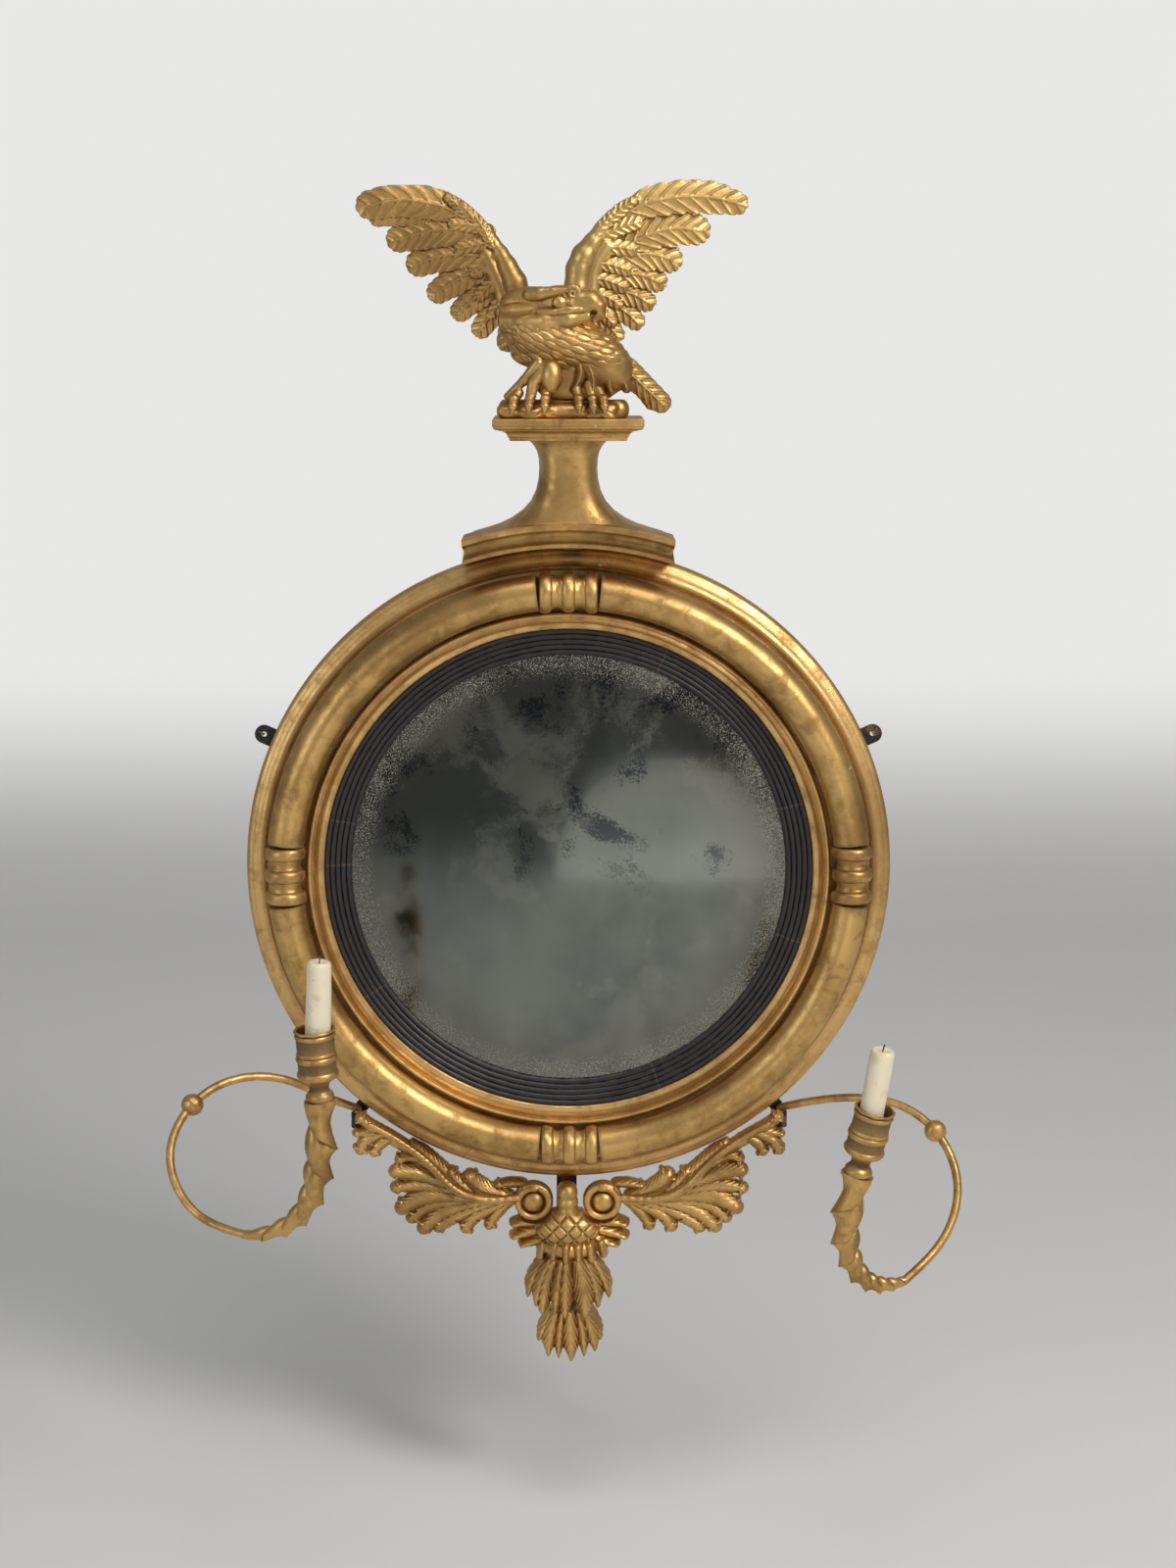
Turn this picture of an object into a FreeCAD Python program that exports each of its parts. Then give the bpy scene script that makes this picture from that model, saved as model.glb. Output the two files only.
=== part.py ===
import FreeCAD, Part
import math
import os

from FreeCAD import Vector

os.makedirs("parts", exist_ok=True)

# Girandole mirror with two candle arms. Millimetres, X right, Z up, wall at Y = 0.
# "Depth" is the distance in front of the wall, so a depth d lies at Y = -d.
# The origin is the centre of the ring, on the wall.

# Clearances and seats
seat_gap = 0.3
pin_gap = 0.3

# Radii, from the edge of the glass that shows outwards to the edge of the ring
slip_sight_r = 200.0
slip_width = 24.2
slip_gap = 0.3
rebate_width = 11.5
inner_moulding_width = 15.0
torus_half_width = 16.5
torus_inner_margin = 3.5
torus_outer_margin = 1.0
rim_width = 20.0
ring_lip_r = slip_sight_r + slip_width + slip_gap
ring_rebate_r = ring_lip_r + rebate_width
ring_inner_crest_r = ring_lip_r + inner_moulding_width
torus_r = ring_inner_crest_r + torus_inner_margin + torus_half_width
ring_seat_outer_r = torus_r + torus_half_width + torus_outer_margin
ring_outer_r = ring_seat_outer_r + rim_width

# The carved pieces and the arms were drawn for a ring of this radius. They move with its edge.
drawn_ring_r = 297.0
ring_growth = ring_outer_r - drawn_ring_r

# Turned ring
ring_side_depth = 13.0
ring_ovolo = 6.5
ring_seat_depth = 24.0
ring_inner_crest_depth = 36.0
ring_lip_depth = 28.5
rebate_depth = 22.0

# Torus moulding on the ring, in four quarters
torus_crest_depth = 54.5
torus_chords = 6

# Clasps that join the quarters
clasp_bead_count = 3
clasp_bead_pitch = 20.5
clasp_bead_width = 11.5
clasp_bead_half = torus_half_width + 2.3
clasp_cove_half = torus_half_width - 2.0
clasp_end_gap = 2.2

# Reeded slip round the glass
slip_top_depth = 27.0
slip_sight_depth = 20.8
slip_reed_count = 5
slip_reed_rise = 1.5

# Convex mirror glass
glass_cover = 8.0
glass_r = slip_sight_r + glass_cover
glass_thickness = 4.0
glass_bulge_r = 1125.0
glass_rim_depth = 17.6

# Back of the frame
board_thickness = 8.0
board_gap = 0.6
plank_width = 156.0
block_count = 8
block_width = 34.0
block_length = 30.0

# Iron plates let into the back
iron_thickness = 2.5
lug_angle = 24.0
lug_reach = 9.0
lug_hole_r = ring_outer_r + lug_reach
lug_hole_d = 5.0
lug_width = 17.0
lug_let_in = 35.0
lug_root_r = ring_outer_r - lug_let_in
lug_back_depth = 1.6
strap_width = 19.0
strap_offset = -2.5
top_strap_overlap = 49.0
apron_strap_overlap = 47.0
apron_strap_reach = 149.0
top_strap_low_z = ring_outer_r - top_strap_overlap
apron_strap_high_z = apron_strap_overlap - ring_outer_r
apron_strap_low_z = -ring_outer_r - apron_strap_reach

# Old wire on the hanging lugs
wire_r = 0.6
wire_turns_right = 3.5
wire_turns_left = 1.25

# Pedestal
plinth_gap = 3.0
plinth_height = 21.5
plinth_half_width = 94.5
plinth_front_depth = 66.0
plinth_groove_r = 7.0
tenon_width = 17.0
neck_waist_half = 26.3
neck_front_depth = 62.0
pedestal_height = 97.5
slab_height = 19.5
slab_bottom_z = ring_outer_r + pedestal_height
slab_top_z = slab_bottom_z + slab_height
neck_top_z = slab_bottom_z - seat_gap
slab_half_width = 66.0
slab_foot_half = 51.0
slab_front_depth = 85.0
rock_height = 16.0
rock_half_foot = 50.0
rock_half_top = 59.0
rock_centre_x = -4.0
rock_back_depth = 38.0
rock_front_depth = 79.0
peg_d = 8.0
peg_length = 22.0

# Eagle, drawn as it stands on a rock whose top is at this height
eagle_perch_z = 430.0
eagle_back_depth = 46.0
eagle_mid_depth = 66.0
feather_thickness = 6.0
wing_back_depth = 28.0
wing_front_depth = 45.7
wing_dowel_d = 7.0
wing_dowel_length = 20.0
tail_feathers = 3

# Apron
leaf_back_depth = 6.0
leaf_tip_back_depth = 17.5
leaf_front_depth = 24.0
volute_r = 19.0
volute_x = 31.0
volute_drop = 15.5
volute_z = -ring_outer_r - volute_drop
boss_half = 29.0
boss_drop = 27.5
boss_height = 32.5
collar_height = 14.0
upper_husk_height = 53.5
lower_husk_height = 49.0
boss_top_z = -ring_outer_r - boss_drop
boss_bottom_z = boss_top_z - boss_height
collar_bottom_z = boss_bottom_z - collar_height
upper_husk_bottom_z = collar_bottom_z - upper_husk_height
lower_husk_bottom_z = upper_husk_bottom_z - lower_husk_height
husk_leaflets = 5

# Candle arms
arm_wire_r = 4.2
arm_sides = 8
arm_turn_step = 13.0
# An arm moves outwards and down with the ring edge, along the line from the middle to its pintle
arm_shift_x = 0.64 * ring_growth
arm_shift_z = -0.77 * ring_growth
pintle_x = 199.0 + arm_shift_x
pintle_depth = 9.0
pintle_top_z = -236.0 + arm_shift_z
pintle_d = 6.0
socket_height = 14.0
socket_wall = 3.2
pintle_collar = 5.0
knop_r = 10.5
twist_top_r = 14.0
twist_foot_r = 6.5
twist_pitch = 24.0
twist_tilt = 32.0
nozzle_height = 64.0
nozzle_rim_r = 18.5
nozzle_body_r = 17.3
nozzle_bore_r = 15.8
nozzle_bore_depth = 34.0
nozzle_sides = 16

# Candles
candle_d = 22.5
candle_length_left = 92.0
candle_length_right = 86.0
candle_sides = 24
wick_d = 2.2
wick_length = 5.0


# ---------------------------------------------------------------- helpers

def at(x, depth, z):
    """A point given by its depth in front of the wall."""
    return Vector(x, -depth, z)


def closed_wire(points):
    return Part.makePolygon(points + [points[0]])


def turned(profile):
    """Solid turned about the ring's axis from (radius, depth) corners."""
    face = Part.Face(closed_wire([at(r, d, 0) for r, d in profile]))
    return face.revolve(Vector(0, 0, 0), Vector(0, 1, 0), 360)


def arc_points(centre_r, centre_d, radius, start, end, chords):
    """Points of an arc in a turned profile, worked in flats."""
    step = (end - start) / chords
    angles = [math.radians(start + step * i) for i in range(chords + 1)]
    return [(centre_r + radius * math.cos(a), centre_d + radius * math.sin(a)) for a in angles]


def plate(outline, back, front):
    """Flat piece with an (x, z) outline between two depths."""
    face = Part.Face(closed_wire([at(x, back, z) for x, z in outline]))
    return face.extrude(Vector(0, back - front, 0))


def regular(centre, across, up, across_r, up_r, sides):
    """Regular polygon, stretched along its two directions."""
    corners = []
    for i in range(sides):
        a = 2 * math.pi * (i + 0.5) / sides
        corners.append(centre + across * (across_r * math.cos(a)) + up * (up_r * math.sin(a)))
    return corners


def skin(rings):
    """Solid with flat faces through sections that have the same number of corners."""
    faces = [Part.Face(closed_wire(rings[0])), Part.Face(closed_wire(rings[-1]))]
    for low, high in zip(rings, rings[1:]):
        for i in range(len(low)):
            k = (i + 1) % len(low)
            a, b, c, d = low[i], low[k], high[k], high[i]
            normal = (b - a).cross(c - a)
            normal.normalize()
            if abs((d - a).dot(normal)) < 1e-6:
                faces.append(Part.Face(closed_wire([a, b, c, d])))
            else:
                faces.append(Part.Face(closed_wire([a, b, c])))
                faces.append(Part.Face(closed_wire([a, c, d])))
    solid = Part.Solid(Part.Shell(faces))
    if solid.Volume < 0:
        solid.reverse()
    return solid


def frame_of(direction, hint):
    """Two unit vectors square to a direction."""
    if abs(direction.dot(hint)) > 0.999:
        hint = Vector(0, 0, 1)
    across = hint.cross(direction)
    across.normalize()
    up = direction.cross(across)
    up.normalize()
    return across, up


def spindle(foot, axis, stations, sides):
    """Turned piece on its own axis from (radius, height) stations, worked in flats."""
    direction = Vector(axis)
    direction.normalize()
    across, up = frame_of(direction, Vector(0, 1, 0))
    rings = [regular(foot + direction * h, across, up, r, r, sides) for r, h in stations]
    return skin(rings)


def body_of(stations, sides, depth_ratio):
    """Rounded mass along X from (x, depth, z, half height) stations."""
    across = Vector(0, 1, 0)
    up = Vector(0, 0, 1)
    rings = [regular(at(x, d, z), across, up, r * depth_ratio, r, sides) for x, d, z, r in stations]
    return skin(rings)


def limb(points, radii, sides, hint):
    """Tapered limb through points, with its own half width at each."""
    rings = []
    for i, p in enumerate(points):
        before = points[max(i - 1, 0)]
        after = points[min(i + 1, len(points) - 1)]
        direction = after - before
        direction.normalize()
        across, up = frame_of(direction, hint)
        rings.append(regular(p, across, up, radii[i], radii[i], sides))
    return skin(rings)


def mix(a, b, t):
    return a + (b - a) * t


def fused(pieces):
    whole = pieces[0]
    for piece in pieces[1:]:
        whole = whole.fuse(piece)
    return whole.removeSplitter()


def perched(shape):
    """An eagle piece moved from where it was drawn on to the rock."""
    return shape.translated(Vector(0, 0, slab_top_z + rock_height - eagle_perch_z))


def hung(shape):
    """An apron piece moved down with the ring's edge."""
    return shape.translated(Vector(0, 0, -ring_growth))


def mirrored(shape):
    """The same shape on the other side of the middle plane."""
    return shape.mirror(Vector(0, 0, 0), Vector(1, 0, 0))


def save(shape, node):
    shape.exportStep("parts/" + node + ".step")


# ---------------------------------------------------------------- ring and glass

def bar_pocket(x0, x1, z0, z1, front, angle=0.0):
    """Pocket in the back that an iron plate is let into, down to the plate's front."""
    pocket = Part.makeBox(
        x1 - x0 + 2 * seat_gap,
        front + seat_gap + 1.0,
        z1 - z0 + 2 * seat_gap,
        Vector(x0 - seat_gap, -front - seat_gap, z0 - seat_gap),
    )
    pocket.rotate(Vector(0, 0, 0), Vector(0, 1, 0), angle)
    return pocket


def frame_ring():
    side = ring_outer_r
    ovolo = arc_points(side - ring_ovolo, ring_side_depth, ring_ovolo, 0, 75, 2)
    profile = [(ring_rebate_r, 0), (side, 0)] + ovolo
    profile += [
        (side - 9.0, ring_side_depth + 8.0),
        (ring_seat_outer_r, ring_seat_depth),
        (ring_inner_crest_r + 1.0, ring_seat_depth),
        (ring_inner_crest_r, ring_inner_crest_depth - 1.0),
        (ring_lip_r + 7.5, ring_lip_depth + 3.0),
        (ring_lip_r + 5.0, ring_lip_depth),
        (ring_lip_r, ring_lip_depth),
        (ring_lip_r, rebate_depth),
        (ring_rebate_r, rebate_depth),
    ]
    ring = turned(profile)
    reach = ring_outer_r + 10.0
    pockets = [
        bar_pocket(strap_x(-1), strap_x(1), top_strap_low_z, reach, iron_thickness),
        bar_pocket(strap_x(-1), strap_x(1), -reach, apron_strap_high_z, iron_thickness),
    ]
    for turn in (-lug_angle, 180 + lug_angle):
        front = lug_back_depth + iron_thickness
        pockets.append(bar_pocket(lug_root_r, reach, -lug_width / 2, lug_width / 2, front, turn))
    for side_sign in (-1, 1):
        pockets.append(socket_strip(side_sign, seat_gap, 1.0))
    for pocket in pockets:
        ring = ring.cut(pocket)
    return ring


def torus_profile():
    crest = torus_crest_depth
    half = torus_half_width
    middle = crest - half
    round_top = arc_points(torus_r, middle, half, -20, 200, torus_chords)
    seat = ring_seat_depth + seat_gap
    foot = half * math.cos(math.radians(20)) - 4.0
    return [(torus_r + foot, seat)] + round_top + [(torus_r - foot, seat)]


def clasp_half_angle():
    reach = (clasp_bead_count - 1) * clasp_bead_pitch / 2 + clasp_bead_width / 2 + clasp_end_gap
    return math.degrees(reach / torus_r)


def torus_quarters():
    face = Part.Face(closed_wire([at(r, d, 0) for r, d in torus_profile()]))
    half = clasp_half_angle()
    quarters = []
    for start in range(0, 360, 90):
        quarter = face.copy()
        quarter.rotate(Vector(0, 0, 0), Vector(0, 1, 0), start + half)
        quarters.append(quarter.revolve(Vector(0, 0, 0), Vector(0, 1, 0), 90 - 2 * half))
    return quarters


def clasp(angle):
    """Beads and coves strung along the torus line, flat where they sit on the ring."""
    seat = ring_seat_depth + seat_gap
    middle = torus_crest_depth - torus_half_width
    length = (clasp_bead_count - 1) * clasp_bead_pitch + clasp_bead_width
    stations = []
    for bead in range(clasp_bead_count):
        centre = (bead - (clasp_bead_count - 1) / 2) * clasp_bead_pitch
        half = clasp_bead_width / 2
        stations.append((clasp_cove_half + 1.5, centre - half))
        stations.append((clasp_bead_half, centre - half * 0.4))
        stations.append((clasp_bead_half, centre + half * 0.4))
        stations.append((clasp_cove_half + 1.5, centre + half))
    foot = at(0, middle, torus_r)
    beads = spindle(foot, Vector(1, 0, 0), stations, 12)
    below = Part.makeBox(length * 2, seat + 40, 200, Vector(-length, -seat, torus_r - 100))
    beads = beads.cut(below)
    beads.rotate(Vector(0, 0, 0), Vector(0, 1, 0), angle)
    return beads


def reeded_slip():
    outer = ring_rebate_r - slip_gap
    neck = ring_lip_r - slip_gap
    shelf = rebate_depth - slip_gap
    pitch = (neck - slip_sight_r) / slip_reed_count
    back = glass_front(slip_sight_r) + slip_gap
    profile = [(outer, back), (outer, shelf), (neck, shelf), (neck, slip_top_depth - slip_reed_rise)]
    for reed in range(slip_reed_count):
        middle = neck - pitch * (reed + 0.5)
        end = neck - pitch * (reed + 1)
        fall = slip_top_depth - slip_sight_depth
        profile.append((middle, slip_top_depth - fall * reed / slip_reed_count))
        profile.append((end, slip_top_depth - fall * (reed + 1) / slip_reed_count - slip_reed_rise / 2))
    profile.append((slip_sight_r, back))
    return turned(profile)


def glass_front(radius):
    """Depth of the glass front at a radius from the centre."""
    rim = math.sqrt(glass_bulge_r ** 2 - glass_r ** 2)
    return glass_rim_depth + math.sqrt(glass_bulge_r ** 2 - radius ** 2) - rim


def mirror_plate():
    vertex = glass_front(0)
    centre = Vector(0, glass_bulge_r - vertex, 0)
    core = Part.makeCylinder(glass_r, vertex + 10, Vector(0, 0, 0), Vector(0, -1, 0))
    front = Part.makeSphere(glass_bulge_r, centre)
    back = Part.makeSphere(glass_bulge_r, centre + Vector(0, glass_thickness, 0))
    return core.common(front).cut(back)


# ---------------------------------------------------------------- back of the frame

def planks():
    disc = Part.makeCylinder(ring_rebate_r - seat_gap, board_thickness, Vector(0, 0, 0), Vector(0, -1, 0))
    reach = ring_rebate_r
    edges = [-reach, -plank_width / 2, plank_width / 2, reach]
    boards = []
    for left, right in zip(edges, edges[1:]):
        width = right - left - board_gap
        box = Part.makeBox(width, board_thickness * 3, 2 * reach, Vector(left + board_gap / 2, -board_thickness * 2, -reach))
        boards.append(disc.common(box))
    return boards


def plate_blocks():
    """Softwood blocks behind the rim of the glass."""
    back = board_thickness + seat_gap
    front = glass_front(glass_r) - glass_thickness - seat_gap
    inner = ring_rebate_r - 2.0 - block_length
    blocks = []
    for i in range(block_count):
        block = Part.makeBox(block_length, front - back, block_width, Vector(inner, -front, -block_width / 2))
        block.rotate(Vector(0, 0, 0), Vector(0, 1, 0), 360 * (i + 0.5) / block_count)
        blocks.append(block)
    return blocks


# ---------------------------------------------------------------- iron plates

def strap_x(side):
    return strap_offset + side * strap_width / 2


def lug(angle):
    """Hanging lug: a plate with a rounded end and its hole, let into the back."""
    end = lug_hole_r
    half = lug_width / 2
    back = lug_back_depth
    front = back + iron_thickness
    tab = Part.makeBox(end - lug_root_r, iron_thickness, lug_width, Vector(lug_root_r, -front, -half))
    eye = Part.makeCylinder(half, iron_thickness, Vector(end, -back, 0), Vector(0, -1, 0))
    hole = Part.makeCylinder(lug_hole_d / 2, iron_thickness * 3, Vector(end, iron_thickness, 0), Vector(0, -1, 0))
    piece = tab.fuse(eye).removeSplitter().cut(hole)
    piece.rotate(Vector(0, 0, 0), Vector(0, 1, 0), angle)
    return piece


def lug_wire(angle, turns):
    """Turns of old wire left round a lug, between the ring's edge and the hole."""
    side = lug_width / 2 + wire_r
    thick = iron_thickness / 2 + wire_r
    gap = 0.25
    middle = lug_back_depth + iron_thickness / 2
    corners = [
        (side + gap, 0), (side, thick), (0, thick + gap), (-side, thick),
        (-side - gap, 0), (-side, -thick), (0, -thick - gap), (side, -thick),
    ]
    first = ring_outer_r + seat_gap + 2 * wire_r
    pitch = 2 * wire_r + gap
    count = int(turns * len(corners)) + 1
    points = []
    for i in range(count):
        across, depth = corners[i % len(corners)]
        points.append(at(first + pitch * i / len(corners), middle + depth, across))
    coil = limb(points, [wire_r] * count, 5, Vector(1, 0, 0))
    coil.rotate(Vector(0, 0, 0), Vector(0, 1, 0), angle)
    return coil


def pedestal_strap():
    top = slab_top_z - seat_gap
    return Part.makeBox(strap_width, iron_thickness, top - top_strap_low_z, Vector(strap_x(-1), -iron_thickness, top_strap_low_z))


def apron_strap():
    length = apron_strap_high_z - apron_strap_low_z
    return Part.makeBox(strap_width, iron_thickness, length, Vector(strap_x(-1), -iron_thickness, apron_strap_low_z))


def socket_strip(side, clearance, extra):
    """Strip of a socket plate, from the ring's back out to the pintle socket."""
    radius = math.hypot(pintle_x, pintle_top_z)
    width = 12.0 + 2 * clearance
    start = radius - 42.0 - clearance
    strip = Part.makeBox(
        radius - start,
        iron_thickness + clearance + extra,
        width,
        Vector(start, -iron_thickness - clearance, -width / 2),
    )
    turn = math.degrees(math.atan2(pintle_x, -pintle_top_z))
    strip.rotate(Vector(0, 0, 0), Vector(0, 1, 0), 90)
    strip.rotate(Vector(0, 0, 0), Vector(0, 1, 0), -side * turn)
    return strip


def socket_plate(side):
    """Plate and upright socket that an arm's pintle turns in."""
    foot = Vector(side * pintle_x, -pintle_depth, pintle_top_z - socket_height)
    outer = pintle_d / 2 + pin_gap + socket_wall
    sleeve = spindle(foot, Vector(0, 0, 1), [(outer, 0), (outer, socket_height)], 12)
    web = Part.makeBox(8.0, pintle_depth, socket_height, foot - Vector(4.0, 0, 0))
    plate_piece = socket_strip(side, 0.0, 0.0).fuse(web).fuse(sleeve)
    bore = Part.makeCylinder(pintle_d / 2 + pin_gap, socket_height * 3, foot - Vector(0, 0, socket_height))
    return plate_piece.cut(bore).removeSplitter()


# ---------------------------------------------------------------- pedestal

def plinth_outer_r():
    return ring_outer_r + plinth_gap + plinth_height


def pedestal_plinth():
    inner = ring_outer_r + plinth_gap
    outer = plinth_outer_r()
    back = iron_thickness + seat_gap
    front = plinth_front_depth
    middle = (inner + outer) / 2
    groove = arc_points(middle, front + 1.0, plinth_groove_r, -10, -170, 3)
    profile = [(inner, back), (outer, back), (outer, front)] + groove + [(inner, front)]
    face = Part.Face(closed_wire([at(r, d, 0) for r, d in profile]))
    face.rotate(Vector(0, 0, 0), Vector(0, 1, 0), -60)
    band = face.revolve(Vector(0, 0, 0), Vector(0, 1, 0), -60)
    width = 2 * plinth_half_width
    slice_box = Part.makeBox(width, 2 * front, 2 * outer, Vector(-plinth_half_width, -front - 5, 0))
    band = band.common(slice_box)
    end_z = math.sqrt(middle ** 2 - plinth_half_width ** 2)
    for side in (-1, 1):
        foot = at(side * (plinth_half_width + 1.2), back - 5, end_z)
        scoop = spindle(foot, Vector(0, -1, 0), [(plinth_groove_r, 0), (plinth_groove_r, front + 10)], 8)
        band = band.cut(scoop)
    pocket = tenon_block(seat_gap)
    return band.cut(pocket)


def tenon_block(clearance):
    """Block between the ring's edge and the plinth, let into the plinth."""
    width = tenon_width + 2 * clearance
    bottom = ring_outer_r + seat_gap
    top = ring_outer_r + plinth_gap + 8.0 + clearance
    depth0 = 20.0 - clearance
    depth1 = 44.0 + clearance
    if clearance > 0:
        bottom = ring_outer_r - 5
    block = Part.makeBox(width, depth1 - depth0, top - bottom + 5, Vector(3.5 - width / 2, -depth1, bottom - 5))
    if clearance == 0:
        core = Part.makeCylinder(bottom, 200, Vector(0, 10, 0), Vector(0, -1, 0))
        block = block.cut(core)
    return block


def neck_section(z, half, front):
    back = iron_thickness + seat_gap
    corner = min(half, front - back) * 0.28
    outline = [
        (-half, back), (half, back),
        (half, front - corner * 1.6), (half - corner * 0.45, front - corner * 0.45),
        (half - corner * 1.6, front), (corner * 1.6 - half, front),
        (corner * 0.45 - half, front - corner * 0.45), (-half, front - corner * 1.6),
    ]
    return [at(x, d, z) for x, d in outline]


def pedestal_neck():
    waist = neck_waist_half
    foot = plinth_half_width
    top = neck_top_z
    arch = plinth_outer_r()
    low = math.sqrt(arch ** 2 - foot ** 2)
    height = top - low
    front = neck_front_depth
    sections = [
        (low - 3.0, foot, front + 3.0),
        (low + height * 0.03, foot * 0.93, front + 2.0),
        (low + height * 0.12, foot * 0.66, front - 1.0),
        (low + height * 0.24, foot * 0.45, front - 4.0),
        (low + height * 0.42, waist * 1.18, front - 6.0),
        (low + height * 0.60, waist, front - 7.0),
        (low + height * 0.80, waist, front - 7.0),
        (low + height * 0.93, waist * 1.16, front - 4.0),
        (top, waist * 1.30, front),
    ]
    neck = skin([neck_section(z, half, f) for z, half, f in sections])
    core = Part.makeCylinder(arch + seat_gap, 400, Vector(0, 50, 0), Vector(0, -1, 0))
    return neck.cut(core)


def rectangle(z, half, front):
    back = iron_thickness + seat_gap
    return [at(-half, back, z), at(half, back, z), at(half, front, z), at(-half, front, z)]


def pedestal_slab():
    """Moulded slab: bottom fillet, cove, ovolo and fascia."""
    height = slab_top_z - slab_bottom_z
    spread = slab_half_width - slab_foot_half
    rises = [(0.0, 0.0), (0.13, 0.0), (0.20, 0.12), (0.36, 0.25), (0.52, 0.62), (0.60, 0.85), (0.63, 1.0), (1.0, 1.0)]
    sections = []
    for rise, out in rises:
        half = slab_foot_half + spread * out
        front = slab_front_depth - spread * (1 - out)
        sections.append(rectangle(slab_bottom_z + height * rise, half, front))
    slab = skin(sections)
    return slab.cut(peg(pin_gap))


def peg(clearance):
    """Dowel that holds the rock on the slab."""
    middle = (rock_back_depth + rock_front_depth) / 2
    low = slab_top_z - peg_length / 2 - clearance
    length = peg_length + 2 * clearance
    radius = peg_d / 2 + clearance
    return spindle(at(rock_centre_x, middle, low), Vector(0, 0, 1), [(radius, 0), (radius, length)], 8)


def rock_base():
    """Rocky mound under the eagle, with a broken outline."""
    low = slab_top_z + seat_gap
    depth_mid = (rock_back_depth + rock_front_depth) / 2
    depth_half = (rock_front_depth - rock_back_depth) / 2
    sections = []
    for rise, swell in ((0.0, 0.0), (0.35, 0.75), (0.7, 1.0), (1.0, 0.8)):
        half = mix(rock_half_foot, rock_half_top, swell)
        half_depth = depth_half - 3.0 + 3.0 * swell
        corners = []
        for i in range(12):
            a = 2 * math.pi * (i + 0.5) / 12
            cos_a = math.cos(a)
            sin_a = math.sin(a)
            x = rock_centre_x + half * math.copysign(abs(cos_a) ** 0.45, cos_a)
            d = depth_mid + half_depth * math.copysign(abs(sin_a) ** 0.45, sin_a)
            corners.append(at(x, d, low + rise * (rock_height - seat_gap)))
        sections.append(corners)
    rock = skin(sections)
    return rock.cut(peg(pin_gap))


# ---------------------------------------------------------------- eagle

def blade(root, tip, half, back, front, bow):
    """One feather: a blade from root to tip that widens, bows and ends rounded."""
    length = tip - root
    span = length.Length
    along = Vector(length)
    along.normalize()
    side = Vector(-along.z, 0, along.x)
    left = []
    right = []
    for t, w in ((0.0, 0.75), (0.5, 1.0), (0.88, 0.75)):
        middle = root + along * (span * t) + side * (bow * 4 * t * (1 - t))
        left.append(middle + side * (half * w))
        right.append(middle - side * (half * w))
    outline = left + [root + along * span] + right[::-1]
    return plate([(p.x, p.z) for p in outline], back, front)


def wing(tips, roots, lead, feathers, side):
    """Spread wing: long feathers, a row of coverts over them and the leading edge."""
    tip_out, tip_in = tips
    root_out, root_in = roots
    pieces = []
    for i in range(feathers):
        t = i / (feathers - 1)
        tip = Vector(mix(tip_out[0], tip_in[0], t), 0, mix(tip_out[1], tip_in[1], t))
        root = Vector(mix(root_out[0], root_in[0], t), 0, mix(root_out[1], root_in[1], t))
        step = 1.2 * (i % 2) + 0.13 * i
        back = wing_back_depth + 1.5 + 0.09 * i
        half = mix(12.5, 10.5, t)
        bow = side * mix(9.0, 2.0, t)
        pieces.append(blade(root, tip, half, back, back + feather_thickness + step, bow))
        middle = root + (tip - root) * mix(0.42, 0.62, t)
        pieces.append(blade(root, middle, half * 0.86, back + 1.07, back + feather_thickness + 4.53 + step, bow * 0.5))
    edge = [at(x, wing_back_depth + d, z) for x, d, z, r in lead]
    radii = [r for x, d, z, r in lead]
    pieces.append(limb(edge, radii, 8, Vector(0, 1, 0)))
    inner = [(x, z) for x, d, z, r in lead] + [root_in] + [
        (mix(root_out[0], root_in[0], t), mix(root_out[1], root_in[1], t)) for t in (0.66, 0.33)
    ]
    pieces.append(plate(inner, wing_back_depth + 0.6, wing_front_depth - 4.0))
    whole = fused(pieces)
    limit = Part.makeBox(600, wing_front_depth - wing_back_depth, 400, Vector(-300, -wing_front_depth, 380))
    return whole.common(limit)


def wing_left():
    tips = ((-186, 594), (-62, 474))
    roots = ((-98, 592), (-40, 490))
    lead = [
        (-184, 7, 601, 5.0), (-160, 8, 607, 7.0), (-128, 9, 606, 9.0), (-100, 9, 596, 10.0),
        (-78, 9, 576, 10.5), (-60, 9, 555, 11.0), (-45, 9, 533, 11.5), (-30, 9, 508, 11.0), (-26, 9, 492, 8.0),
    ]
    return wing(tips, roots, lead, 8, -1).cut(wing_dowel(-1, pin_gap))


def wing_right():
    tips = ((158, 598), (50, 480))
    roots = ((52, 590), (24, 490))
    lead = [
        (154, 7, 605, 5.0), (134, 8, 611, 7.0), (106, 9, 611, 9.0), (72, 9, 604, 10.0),
        (44, 9, 589, 11.0), (24, 9, 568, 11.5), (10, 9, 545, 12.0), (4, 9, 520, 11.5), (4, 9, 494, 8.0),
    ]
    return wing(tips, roots, lead, 8, 1).cut(wing_dowel(1, pin_gap))


def wing_dowel(side, clearance):
    """Dowel from a wing into the eagle's back."""
    x = -24.0 if side < 0 else 5.0
    start = wing_front_depth - wing_dowel_length / 2 - clearance
    length = wing_dowel_length + 2 * clearance
    radius = wing_dowel_d / 2 + clearance
    return spindle(at(x, start, 500.0), Vector(0, -1, 0), [(radius, 0), (radius, length)], 8)


def claw(x, spread):
    """Toe that lies on the rock and hooks over its front edge."""
    top = eagle_perch_z + seat_gap
    edge = rock_front_depth
    points = [
        at(x, edge - 16, top + 7.0),
        at(x + spread * 0.6, edge - 4, top + 5.5),
        at(x + spread, edge + 3.8, top + 1.5),
        at(x + spread, edge + 4.2, top - 7.0),
        at(x + spread, edge + 2.6, top - 12.5),
    ]
    return limb(points, [5.0, 4.6, 3.2, 2.4, 1.2], 6, Vector(1, 0, 0))


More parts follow.
